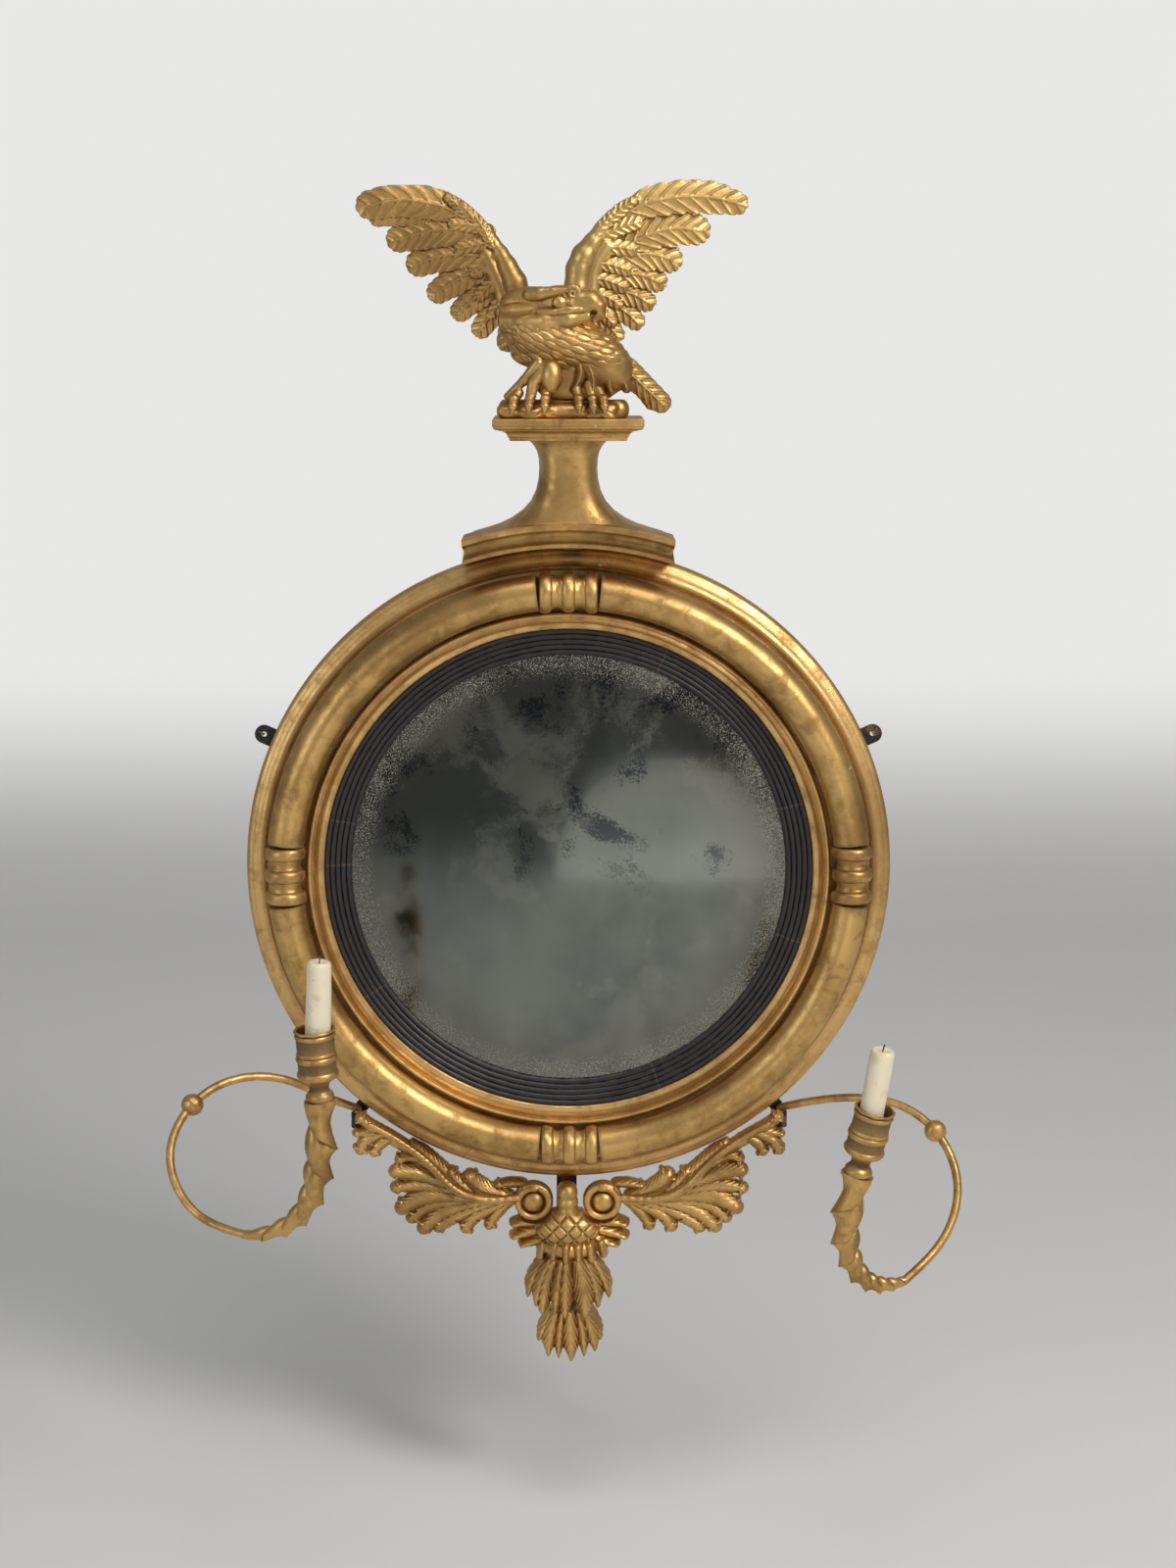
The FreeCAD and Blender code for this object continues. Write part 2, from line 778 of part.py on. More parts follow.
def eagle_body():
    mid = eagle_mid_depth
    trunk = body_of([
        (-60, mid, 492, 5), (-56, mid, 490, 12), (-44, mid, 487, 19), (-24, mid, 484, 22.5),
        (0, mid, 483, 21.5), (22, mid, 482, 16), (40, mid, 478, 9.5), (48, mid, 476, 6),
    ], 10, 1.15)
    head_depth = mid + 14
    head = body_of([
        (-58, head_depth - 6, 502, 5), (-50, head_depth - 5, 506, 13), (-34, head_depth - 2, 509, 17),
        (-12, head_depth, 512, 17.5), (6, head_depth, 512, 14), (18, head_depth, 512, 10),
        (28, head_depth, 513, 6.5), (33, head_depth, 512, 4.0),
    ], 10, 1.0)
    beak = limb(
        [at(24, head_depth, 513), at(31, head_depth, 509), at(31, head_depth, 502), at(25, head_depth, 496)],
        [6.0, 5.0, 3.4, 1.0], 6, Vector(0, 1, 0),
    )
    jaw = body_of([(-22, head_depth, 500, 6), (0, head_depth, 500, 5), (18, head_depth, 501, 2.5)], 6, 1.0)
    pieces = [trunk, head, beak, jaw]
    for i in range(tail_feathers):
        fan = i - (tail_feathers - 1) / 2
        root = Vector(34 - fan * 4, 0, 478 + fan * 3)
        tip = Vector(78 - fan * 11, 0, 419 - fan * 3 + 2 * abs(fan))
        back = mid - 12 + i * 1.5
        pieces.append(blade(root, tip, 9.5, back, back + feather_thickness + 3, 3.0))
    top = eagle_perch_z + seat_gap
    for hip_x, foot_x in ((-22, -31), (12, 20)):
        leg = limb(
            [at(hip_x, mid + 4, 474), at(hip_x - 1, mid + 4, 458), at(mix(hip_x, foot_x, 0.6), mid + 1, 444), at(foot_x, mid - 2, top + 5.0)],
            [14.0, 12.0, 8.0, 4.6], 8, Vector(0, 1, 0),
        )
        pieces.append(leg)
        for spread in (-11.0, 0.0, 11.0):
            pieces.append(claw(foot_x + spread * 0.25, spread))
    whole = fused(pieces)
    behind = Part.makeBox(400, eagle_back_depth + 20, 300, Vector(-200, -eagle_back_depth, 380))
    whole = whole.cut(behind)
    for side in (-1, 1):
        whole = whole.cut(wing_dowel(side, pin_gap))
    return whole


# ---------------------------------------------------------------- apron

def leaf_left():
    """Scrolling acanthus leaf that follows the ring's edge and ends in a volute."""
    inner = ring_outer_r + seat_gap
    fit = [math.radians(a) for a in (259.5, 252, 244, 236, 229.5)]
    top = [(inner * math.cos(a) * 1.0, inner * math.sin(a)) for a in fit]
    lower = [
        (-178, -284), (-170, -300), (-160, -322), (-146, -342),
        (-124, -348), (-100, -350), (-78, -345), (-60, -330), (-44, -318),
    ]
    lower = [(x, z - ring_growth) for x, z in lower]
    main = plate(top + lower, leaf_back_depth, leaf_front_depth - 6)
    lobes = [
        ((-72, -312), (-98, -355), 12.0, 3.0, -6.0),
        ((-100, -306), (-146, -354), 13.0, 6.0, -8.0),
        ((-120, -300), (-168, -333), 13.0, 4.0, -8.0),
        ((-136, -288), (-172, -292), 12.0, 2.0, -5.0),
    ]
    pieces = [main]
    for root, tip, half, lift, bow in lobes:
        r = Vector(root[0], 0, root[1])
        t = Vector(tip[0], 0, tip[1])
        pieces.append(hung(blade(r, t, half, leaf_back_depth + 2, leaf_front_depth + lift, bow)))
    curl = [
        at(-36, 15, -306), at(-58, 16, -306), at(-84, 20, -301), at(-110, 21, -293), at(-136, 21, -281), at(-160, 22, -266),
        at(-180, 24, -252), at(-196, 25, -243), at(-203, 25, -234),
    ]
    pieces.append(hung(limb(curl, [6, 7, 8, 8.5, 9, 8.5, 7.5, 6.5, 4], 8, Vector(0, 1, 0))))
    tip_lobe = blade(Vector(-172, 0, -262), Vector(-208, 0, -252), 11.0, leaf_tip_back_depth, leaf_front_depth + 6, 4.0)
    pieces.append(hung(tip_lobe))
    foot = at(-volute_x, leaf_back_depth, volute_z)
    scroll = spindle(foot, Vector(0, -1, 0), [
        (volute_r, 0), (volute_r, 20), (volute_r * 0.62, 24), (volute_r * 0.55, 21), (volute_r * 0.3, 29), (volute_r * 0.1, 30),
    ], 14)
    pieces.append(scroll)
    whole = fused(pieces)
    keep_out = Part.makeCylinder(inner, 200, Vector(0, 50, 0), Vector(0, -1, 0))
    whole = whole.cut(keep_out)
    room = Part.makeBox(80, leaf_tip_back_depth + 10, 60, Vector(-240, -leaf_tip_back_depth, -270))
    return whole.cut(hung(room))


def apron_boss():
    """Bud between the volutes over a swelling boss, with a small leaf each side and a collar."""
    back = iron_thickness + seat_gap
    axis = Vector(0, 0, -1)
    height = boss_top_z - boss_bottom_z
    middle = 18.0
    swell = spindle(at(-1, middle, boss_top_z + 6), axis, [
        (boss_half * 0.35, 0), (boss_half * 0.8, 7), (boss_half, 6 + height * 0.4),
        (boss_half * 0.96, 6 + height * 0.75), (boss_half * 0.78, 6 + height),
    ], 14)
    collar = spindle(at(-1, middle, boss_bottom_z + 0.5), axis, [
        (boss_half * 0.8, 0), (boss_half * 1.22, 3.5), (boss_half * 1.26, 8.0), (boss_half * 0.9, boss_bottom_z + 0.5 - collar_bottom_z),
    ], 14)
    gap = volute_x - volute_r - seat_gap
    bud = spindle(at(0, middle + 6, -ring_outer_r - 2.0), axis, [(gap * 0.25, 0), (gap * 0.85, 9), (gap * 0.9, 20), (gap * 0.6, 34)], 10)
    pieces = [swell, collar, bud]
    for side in (-1, 1):
        root = Vector(side * 20, 0, -350)
        tip = Vector(side * 50, 0, -334)
        pieces.append(hung(blade(root, tip, 8.5, back, middle + 10, side * 3.0)))
    whole = fused(pieces)
    behind = Part.makeBox(300, back + 60, 200, Vector(-150, -back, -450))
    whole = whole.cut(hung(behind))
    for side in (-1, 1):
        foot = at(side * volute_x, -5, volute_z)
        room = spindle(foot, Vector(0, -1, 0), [(volute_r + 1.2 * seat_gap, 0), (volute_r + 1.2 * seat_gap, 80)], 14)
        whole = whole.cut(room)
        leaf_room = plate([(side * 52, -300), (side * 200, -300), (side * 200, -420), (side * 52, -420)], -5, 80)
        whole = whole.cut(hung(leaf_room))
    return whole


def husk(top_z, bottom_z, top_half, half, tip_half, leaflets, end):
    """Tier of leaflets hanging round a core, flat against the wall side."""
    back = iron_thickness + seat_gap
    middle = 16.0
    height = top_z - bottom_z
    core = spindle(at(-1, middle, top_z), Vector(0, 0, -1), [
        (top_half, 0), (half * 0.72, height * 0.35), (half * 0.5, height * 0.8), (end, height),
    ], 10)
    pieces = [core]
    for i in range(leaflets):
        turn = math.radians(180 * i / (leaflets - 1))
        out = Vector(math.cos(turn), -math.sin(turn) * 0.85, 0)
        foot = at(-1, middle, top_z - 2)
        drop = height * (0.84 if i % 2 == 0 else 0.98)
        path = []
        for t, r in ((0.0, top_half * 0.7), (0.3, half * 0.72), (0.62, half * 0.8), (1.0, half - 3.0 - tip_half)):
            path.append(foot + out * r + Vector(0, 0, -drop * t))
        side = Vector(out.y, -out.x, 0)
        pieces.append(limb(path, [top_half * 0.3, half * 0.26, half * 0.22, 2.0], 6, side))
    whole = fused(pieces)
    behind = Part.makeBox(300, back + 60, height * 3, Vector(-150, -back, bottom_z - height))
    lid = Part.makeBox(300, 200, height, Vector(-150, -100, top_z))
    return whole.cut(behind).cut(lid)


def upper_husk():
    return husk(collar_bottom_z - seat_gap, upper_husk_bottom_z, 24.0, 46.0, 0.0, husk_leaflets, 13.0)


def lower_husk():
    return husk(upper_husk_bottom_z - seat_gap, lower_husk_bottom_z, 15.0, 36.0, 8.0, husk_leaflets, 2.0)


# ---------------------------------------------------------------- candle arms

# Eleven points on the middle line of each arm: from the pintle, out over the top of the
# loop, past the knop, down and round the bowl, and up inside the twist to the nozzle.
drawn_left_points = [
    (-199, 9, -232), (-222, 16, -221), (-265, 42, -193), (-302, 58, -187), (-343, 84, -204), (-360, 112, -242),
    (-333, 143, -286), (-287, 165, -298), (-236, 190, -272), (-214, 209, -207), (-213, 215, -158),
]
drawn_right_points = [
    (199, 9, -232), (226, 25, -221), (264, 52, -209), (302, 74, -209), (333, 95, -227), (351, 118, -272),
    (337, 137, -313), (300, 158, -345), (264, 176, -339), (243, 188, -302), (250, 202, -230),
]
arm_left_points = [(x - arm_shift_x, d, z + arm_shift_z) for x, d, z in drawn_left_points]
arm_right_points = [(x + arm_shift_x, d, z + arm_shift_z) for x, d, z in drawn_right_points]
knop_span_count = 4
twist_span_count = 7


def arm_curve(points):
    """Smooth middle line of an arm with the parameters of its named points."""
    curve = Part.BSplineCurve()
    nodes = [at(x, d, z) for x, d, z in points]
    curve.interpolate(nodes)
    return curve, [curve.parameter(p) for p in nodes]


def stations_between(curve, start, end):
    """Parameters along a curve, one for each step of turning."""
    fine = 400
    marks = [start + (end - start) * i / fine for i in range(fine + 1)]
    chosen = [marks[0]]
    last = curve.tangent(marks[0])[0]
    for mark in marks[1:-1]:
        here = curve.tangent(mark)[0]
        if math.degrees(last.getAngle(here)) >= arm_turn_step:
            chosen.append(mark)
            last = here
    if math.degrees(last.getAngle(curve.tangent(marks[-1])[0])) < arm_turn_step / 3:
        chosen = chosen[:-1]
    return chosen + [marks[-1]]


def carried_frames(curve, marks):
    """Section directions carried along the curve without twisting."""
    frames = []
    across = None
    for mark in marks:
        direction = curve.tangent(mark)[0]
        if across is None:
            across = direction.cross(Vector(0, 1, 0))
        across = across - direction * across.dot(direction)
        across.normalize()
        frames.append((curve.value(mark), across, direction.cross(across)))
    return frames


def wire_between(curve, start, end, radius):
    frames = carried_frames(curve, stations_between(curve, start, end))
    rings = [regular(p, across, up, radius, radius, arm_sides) for p, across, up in frames]
    return skin(rings)


def wire_bore_r():
    """Corner radius of a bore whose flats clear the wire."""
    return (arm_wire_r + pin_gap) / math.cos(math.pi / arm_sides) + pin_gap / 2


def arm_wire(points, side):
    """Bent wire of an arm with its pintle; the far end runs into the twist."""
    curve, marks = arm_curve(points)
    bore_end = marks[twist_span_count] + (marks[twist_span_count + 1] - marks[twist_span_count]) * 0.15
    wire = wire_between(curve, marks[0], bore_end, arm_wire_r)
    collar_foot = at(side * pintle_x, pintle_depth, pintle_top_z + pin_gap)
    collar = spindle(collar_foot, Vector(0, 0, 1), [(pintle_d / 2 + socket_wall, 0), (pintle_d / 2 + socket_wall, pintle_collar)], 12)
    pin = Part.makeCylinder(pintle_d / 2, socket_height + 2.0, collar_foot - Vector(0, 0, socket_height + 1.0))
    return wire.fuse(collar).fuse(pin).removeSplitter()


def knop(points):
    """Turned ball threaded on the wire at the shoulder of the arm."""
    curve, marks = arm_curve(points)
    mark = marks[knop_span_count]
    direction = curve.tangent(mark)[0]
    middle = curve.value(mark)
    stations = []
    for a in range(-66, 67, 33):
        angle = math.radians(a)
        stations.append((knop_r * math.cos(angle), knop_r * math.sin(angle)))
    ball = spindle(middle, direction, stations, 12)
    reach = (marks[knop_span_count + 1] - mark) * 0.6
    return ball.cut(wire_between(curve, mark - reach, mark + reach, wire_bore_r()))


def twist(points, side, end_axis):
    """Rope twist round the last third of the wire: slanting ridges that grow to the top.

    Its upper end is square to the nozzle that stands on it.
    """
    curve, marks = arm_curve(points)
    start = marks[twist_span_count]
    end = marks[-1]
    length = curve.length(start, end)
    ridges = int(length / twist_pitch)
    tilt = math.radians(twist_tilt)
    rings = []
    total = 2 * ridges
    for i in range(total + 1):
        t = i / total
        mark = curve.parameterAtDistance(length * t, start)
        p = curve.value(mark)
        direction = curve.tangent(mark)[0]
        if i == total:
            direction = end_axis
        across = direction.cross(Vector(0, 1, 0))
        across.normalize()
        front = across.cross(direction)
        radius = mix(twist_foot_r, twist_top_r, min(1.0, 1.35 * t))
        if i % 2 == 0:
            radius = radius * 0.66
        lean = tilt * (1.0 if 0 < i < total else 0.0)
        slant = across * math.cos(lean) + direction * (side * math.sin(lean))
        rings.append(regular(p, slant, front, radius / math.cos(lean), radius, 10))
    body = skin(rings)
    bore_end = start + (marks[twist_span_count + 1] - start) * 0.15
    spare = bore_end - start
    inside = wire_between(curve, start - spare, bore_end + spare * 0.05, wire_bore_r())
    return body.cut(inside)


def nozzle(foot, axis):
    """Turned candle cup on its baluster, open at the top."""
    rim = nozzle_rim_r
    body = nozzle_body_r
    h = nozzle_height
    outer = spindle(foot, axis, [
        (12.0, seat_gap), (12.0, 2.5), (7.0, 5.0), (8.0, 8.0), (12.6, 11.0), (12.6, 13.5), (8.6, 17.0), (9.0, 21.0),
        (body - 2.0, 27.0), (body + 0.9, 32.0), (body + 0.9, 34.0), (body - 0.6, 36.0),
        (body + 0.6, 45.0), (body, 49.0), (body, h - 7.0), (rim, h),
    ], nozzle_sides)
    inner = spindle(foot, axis, [(nozzle_bore_r, h - nozzle_bore_depth), (nozzle_bore_r, h + 5.0)], nozzle_sides)
    return outer.cut(inner)


def tilted(lean_out, lean_forward, side):
    """Unit axis that leans outwards and forwards from the vertical, in degrees."""
    out = math.tan(math.radians(lean_out))
    forward = math.tan(math.radians(lean_forward))
    axis = Vector(side * out, -forward, 1)
    axis.normalize()
    return axis


nozzle_axis_left = tilted(3.5, 2.0, -1)
nozzle_axis_right = tilted(12.0, 8.0, 1)
candle_axis_left = tilted(-2.3, 1.0, -1)
candle_axis_right = tilted(8.0, 5.0, 1)


def candle_foot(foot, nozzle_axis, candle_axis):
    """Middle of a candle's lower end, its low edge just above the floor of the cup."""
    floor = nozzle_height - nozzle_bore_depth
    lift = candle_d / 2 * math.sin(nozzle_axis.getAngle(candle_axis)) + seat_gap
    return foot + nozzle_axis * (floor + lift)


def candle(foot, axis, length):
    radius = candle_d / 2
    stick = spindle(foot, axis, [(radius, 0), (radius, length - 2.5), (radius - 3.0, length)], candle_sides)
    hole = spindle(foot + axis * (length - 8.0), axis, [(wick_d / 2 + pin_gap, 0), (wick_d / 2 + pin_gap, 12)], 6)
    return stick.cut(hole)


def wick(foot, axis, length):
    start = foot + axis * (length - 7.5)
    return spindle(start, axis, [(wick_d / 2, 0), (wick_d / 2, 7.5 + wick_length * 0.7), (wick_d / 4, 7.5 + wick_length)], 6)


# ---------------------------------------------------------------- build

save(frame_ring(), "frame_ring")
save(Part.makeCompound(torus_quarters()), "torus_quarters")
for name, angle in (("top", 0), ("right", 90), ("bottom", 180), ("left", 270)):
    save(clasp(angle), "clasp_" + name)
save(reeded_slip(), "reeded_slip")
save(mirror_plate(), "mirror_plate")
save(Part.makeCompound(plate_blocks()), "plate_blocks")
for name, board in zip(("left", "middle", "right"), planks()):
    save(board, "backboard_plank_" + name)

save(lug(-lug_angle), "hanging_lug_right")
save(lug(180 + lug_angle), "hanging_lug_left")
save(lug_wire(-lug_angle, wire_turns_right), "lug_wire_right")
save(lug_wire(180 + lug_angle, wire_turns_left), "lug_wire_left")
save(pedestal_strap(), "pedestal_back_strap")
save(apron_strap(), "apron_strap")

save(pedestal_plinth(), "pedestal_plinth")
save(tenon_block(0), "pedestal_tenon")
save(pedestal_neck(), "pedestal_neck")
save(pedestal_slab(), "pedestal_slab")
save(peg(0), "rock_peg")
save(rock_base(), "rock_base")
save(perched(eagle_body()), "eagle_body")
save(perched(wing_left()), "wing_left")
save(perched(wing_right()), "wing_right")
save(perched(wing_dowel(-1, 0)), "wing_dowel_left")
save(perched(wing_dowel(1, 0)), "wing_dowel_right")

save(leaf_left(), "apron_leaf_left")
save(mirrored(leaf_left()), "apron_leaf_right")
save(apron_boss(), "apron_boss")
save(upper_husk(), "pendant_upper_husk")
save(lower_husk(), "pendant_lower_husk")

arms = (
    ("left", -1, arm_left_points, nozzle_axis_left, candle_axis_left, candle_length_left),
    ("right", 1, arm_right_points, nozzle_axis_right, candle_axis_right, candle_length_right),
)
for name, side, points, nozzle_axis, candle_axis, length in arms:
    twist_end = at(*points[-1])
    save(socket_plate(side), "socket_plate_" + name)
    save(arm_wire(points, side), "arm_wire_" + name)
    save(knop(points), "arm_knop_" + name)
    save(twist(points, side, nozzle_axis), "arm_twist_" + name)
    save(nozzle(twist_end, nozzle_axis), "nozzle_" + name)
    stand = candle_foot(twist_end, nozzle_axis, candle_axis)
    save(candle(stand, candle_axis, length), "candle_" + name)
    save(wick(stand, candle_axis, length), "wick_" + name)
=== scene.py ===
import math

import bpy
import numpy as np
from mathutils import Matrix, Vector


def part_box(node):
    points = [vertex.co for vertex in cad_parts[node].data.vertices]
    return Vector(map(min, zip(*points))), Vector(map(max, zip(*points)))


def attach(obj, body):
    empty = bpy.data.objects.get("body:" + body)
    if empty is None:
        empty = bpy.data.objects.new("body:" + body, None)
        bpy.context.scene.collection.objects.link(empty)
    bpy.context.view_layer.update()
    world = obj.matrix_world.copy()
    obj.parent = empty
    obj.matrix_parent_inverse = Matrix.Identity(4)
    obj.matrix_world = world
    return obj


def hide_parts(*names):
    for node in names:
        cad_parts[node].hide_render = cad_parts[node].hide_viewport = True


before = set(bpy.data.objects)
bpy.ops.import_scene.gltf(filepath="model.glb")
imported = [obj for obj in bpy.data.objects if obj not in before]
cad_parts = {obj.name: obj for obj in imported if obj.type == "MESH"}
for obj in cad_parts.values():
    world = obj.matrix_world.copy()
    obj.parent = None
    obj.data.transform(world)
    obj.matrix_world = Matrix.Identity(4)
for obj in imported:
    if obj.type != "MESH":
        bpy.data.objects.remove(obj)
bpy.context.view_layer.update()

bl_info = {
    "name": "Girandole mirror",
    "version": (1, 0, 0),
    "blender": (4, 5, 0),
    "location": "3D View > Sidebar > Girandole",
    "description": "Dresses the packed frame of a girandole mirror and sets a studio stage",
    "category": "Object",
}

MM = 0.001


# ---------------------------------------------------------------- places read from the frame, in millimetres

def corners(node):
    """Lowest and highest corner of a CAD node as (x, depth in front of the wall, z), in millimetres."""
    low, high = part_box(node)
    return (low[0] / MM, -high[1] / MM, low[2] / MM), (high[0] / MM, -low[1] / MM, high[2] / MM)


RING_R = corners("frame_ring")[1][0]
TORUS_CREST = corners("torus_quarters")[1][1]
GLASS_R = corners("mirror_plate")[1][0]
GLASS_VERTEX = corners("mirror_plate")[1][1]
PLINTH_LOW, PLINTH_HIGH = corners("pedestal_plinth")
NECK_LOW, NECK_HIGH = corners("pedestal_neck")
SLAB_LOW, SLAB_HIGH = corners("pedestal_slab")
ROCK_LOW, ROCK_HIGH = corners("rock_base")

# turned ring, torus, slip and glass, by radius and depth
TORUS_R = 259.5
TORUS_HALF = 16.5
SEAT_DEPTH = 24.0
SEAT_GAP = 0.3
PLINTH_GAP = 3.0
NECK_SEAT = 24.6
LIP_R = 224.5
REBATE_R = 236.0
REBATE_DEPTH = 22.0
SIGHT_R = 200.0
SIGHT_DEPTH = 20.8
SLIP_TOP = 27.0
REED_COUNT = 5
GLASS_THICKNESS = 4.0
GLASS_BULGE_R = 1125.0

# clasps over the joints of the torus
CLASP_PITCH = 20.5
CLASP_BEAD = 11.5
CLASP_HALF = 18.8
CLASP_COVE = 14.6
CLASP_END_GAP = 2.2

# middle lines of the candle arms, from the pintle to the nozzle
ARM_LEFT = [
    (-199, 9, -232), (-222, 16, -221), (-265, 42, -193), (-302, 58, -187), (-343, 84, -204),
    (-360, 112, -242),
    (-333, 143, -286), (-287, 165, -298), (-236, 190, -272), (-214, 209, -207), (-213, 215, -158),
]
ARM_RIGHT = [
    (199, 9, -232), (226, 25, -221), (264, 52, -209), (302, 74, -209), (333, 95, -227), (351, 118, -272),
    (337, 137, -313), (300, 158, -345), (264, 176, -339), (243, 188, -302), (250, 202, -230),
]
KNOP_POINT = 4
TWIST_POINT = 7
NOZZLE_LEAN_LEFT = (3.5, 2.0)
NOZZLE_LEAN_RIGHT = (12.0, 8.0)
CANDLE_LEAN_LEFT = (-2.3, 1.0)
CANDLE_LEAN_RIGHT = (8.0, 5.0)
KNOP_R = 10.1
WIRE_R = 3.9
CANDLE_R = 11.1

# hanging lugs: how far up from the level their middle line leans, in degrees
LUG_ANGLE = 24

# carved pieces: edge of a cell of the block that they are carved in, and the value of empty space
WING_STEP = 0.7
EAGLE_STEP = 0.76
LEAF_STEP = 0.8
PENDANT_STEP = 0.65
ROCK_STEP = 0.9
EMPTY = 20.0

# twisted leaves: rings along the wire, points round each
TWIST_RINGS = 480
TWIST_SIDES = 112


# ---------------------------------------------------------------- meshes

def signed_volume(verts, faces):
    total = 0.0
    for face in faces:
        a = verts[face[0]]
        for i in range(1, len(face) - 1):
            total += a @ np.cross(verts[face[i]], verts[face[i + 1]])
    return total / 6


def new_object(name, data):
    obj = bpy.data.objects.new(name, data)
    bpy.context.scene.collection.objects.link(obj)
    return obj


def mesh_object(name, verts, faces, material, sharp=35.0):
    """Closed piece from points in millimetres, faces outwards, smooth but for its sharp edges.

    Points are (x, y, z) with the front of the object towards -y.
    """
    verts = np.asarray(verts, float)
    if len(faces) < 60000:
        inside_out = signed_volume(verts, faces) < 0
    else:
        quads = np.array(faces)
        a, b, c, d = (verts[quads[:, i]] for i in range(4))
        inside_out = (a * (np.cross(b, c) + np.cross(c, d))).sum() < 0
    if inside_out:
        faces = [tuple(face)[::-1] for face in faces]
    mesh = bpy.data.meshes.new(name)
    mesh.from_pydata((verts * MM).tolist(), [], faces)
    mesh.update()
    mesh.shade_smooth()
    if sharp < 180:
        mesh.set_sharp_from_angle(angle=math.radians(sharp))
    mesh.materials.append(material)
    return new_object(name, mesh)


def settle(obj, body, nodes):
    """The piece rides on its body and stands for its CAD nodes, which it hides."""
    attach(obj, body)
    if nodes:
        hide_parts(*nodes)
    return obj


def grid_faces(rows, columns, wrap_rows=False, wrap_columns=True):
    """Quads of a grid of rows by columns, joined round where asked."""
    faces = []
    for i in range(rows if wrap_rows else rows - 1):
        for j in range(columns if wrap_columns else columns - 1):
            k = (j + 1) % columns
            below = ((i + 1) % rows) * columns
            faces.append((i * columns + j, i * columns + k, below + k, below + j))
    return faces


def arc(centre_r, centre_d, radius, start, end, steps):
    """Points of an arc in (radius, depth), its angles in degrees."""
    angles = np.radians(np.linspace(start, end, steps + 1))
    return [(centre_r + radius * math.cos(a), centre_d + radius * math.sin(a)) for a in angles]


def turned(profile, segments, start, end):
    """Part of a ring, turned round the wall axis from (radius, depth) points."""
    profile = np.array(profile, float)
    angles = np.radians(np.linspace(start, end, segments + 1))
    verts = [
        np.stack([profile[:, 0] * math.sin(a), -profile[:, 1], profile[:, 0] * math.cos(a)],
                 1) for a in angles
    ]
    points = len(profile)
    faces = grid_faces(len(angles), points)
    faces.append(tuple(range(points)))
    faces.append(tuple(segments * points + i for i in reversed(range(points))))
    return np.vstack(verts), faces


def square_to(axis):
    axis = np.array(axis, float)
    axis /= np.linalg.norm(axis)
    hint = np.array([0.0, 1.0, 0.0]) if abs(axis[1]) < 0.9 else np.array([0.0, 0.0, 1.0])
    across = np.cross(hint, axis)
    across /= np.linalg.norm(across)
    return axis, across, np.cross(axis, across)


def capped(rings, first, last):
    """Rings of points joined into a closed solid that ends in two single points."""
    columns = len(rings[0])
    faces = grid_faces(len(rings), columns)
    verts = np.vstack(list(rings) + [[first], [last]])
    base = len(rings) * columns
    for j in range(columns):
        k = (j + 1) % columns
        faces.append((base, k, j))
        faces.append((base + 1, base - columns + j, base - columns + k))
    return verts, faces


def lathe(foot, axis, profile, segments=64, chip=None):
    """Solid turned on its own axis from (radius, height) points; chip(angle, height) wears its radius."""
    axis, across, up = square_to(axis)
    angles = np.linspace(0, 2 * math.pi, segments, endpoint=False)
    round_dirs = np.outer(np.cos(angles), across) + np.outer(np.sin(angles), up)
    rings = []
    for r, h in profile:
        worn = r + (chip(angles, h) if chip else 0.0) * np.ones(segments)
        rings.append(foot + axis * h + round_dirs * worn[:, None])
    return capped(rings, foot + axis * profile[0][1], foot + axis * profile[-1][1])


def spline(points, steps):
    """Natural cubic line through (x, depth, z) points, with as many steps between each two, as (x, y, z)."""
    p = np.array([(x, -d, z) for x, d, z in points], float)
    gap = np.linalg.norm(np.diff(p, axis=0), axis=1)
    slope = np.diff(p, axis=0) / gap[:, None]
    system, right = np.eye(len(p)), np.zeros_like(p)
    for i in range(1, len(p) - 1):
        system[i, i - 1:i + 2] = gap[i - 1], 2 * (gap[i - 1] + gap[i]), gap[i]
        right[i] = 6 * (slope[i] - slope[i - 1])
    bend = np.linalg.solve(system, right)
    t = np.linspace(0, 1, steps, endpoint=False)[:, None]
    u = 1 - t
    line = [
        u * p[i] + t * p[i + 1] + gap[i] ** 2 / 6 * ((u ** 3 - u) * bend[i] + (t ** 3 - t) * bend[i + 1])
        for i in range(len(p) - 1)
    ]
    return np.vstack(line + [p[-1:]])


def lengths(path):
    steps = np.linalg.norm(np.diff(path, axis=0), axis=1)
    return np.concatenate([[0], np.cumsum(steps)])


# ---------------------------------------------------------------- carved forms

def join(a, b, blend=0.0):
    """The nearer of two distances, eased into each other over blend."""
    if blend <= 0:
        return np.minimum(a, b)
    h = np.clip(0.5 + 0.5 * (b - a) / blend, 0, 1)
    return b * (1 - h) + a * h - blend * h * (1 - h)


def ball(x, d, z, centre, radii, turn=0.0):
    """Ellipsoid, turned in the plane of the wall."""
    px, pz = x - centre[0], z - centre[2]
    c, s = math.cos(math.radians(turn)), math.sin(math.radians(turn))
    px, pz = px * c + pz * s, -px * s + pz * c
    pd = d - centre[1]
    k0 = np.sqrt((px / radii[0]) ** 2 + (pd / radii[1]) ** 2 + (pz / radii[2]) ** 2)
    k1 = np.sqrt((px / radii[0] ** 2) ** 2 + (pd / radii[1] ** 2) ** 2 + (pz / radii[2] ** 2) ** 2) + 1e-6
    return k0 * (k0 - 1) / k1


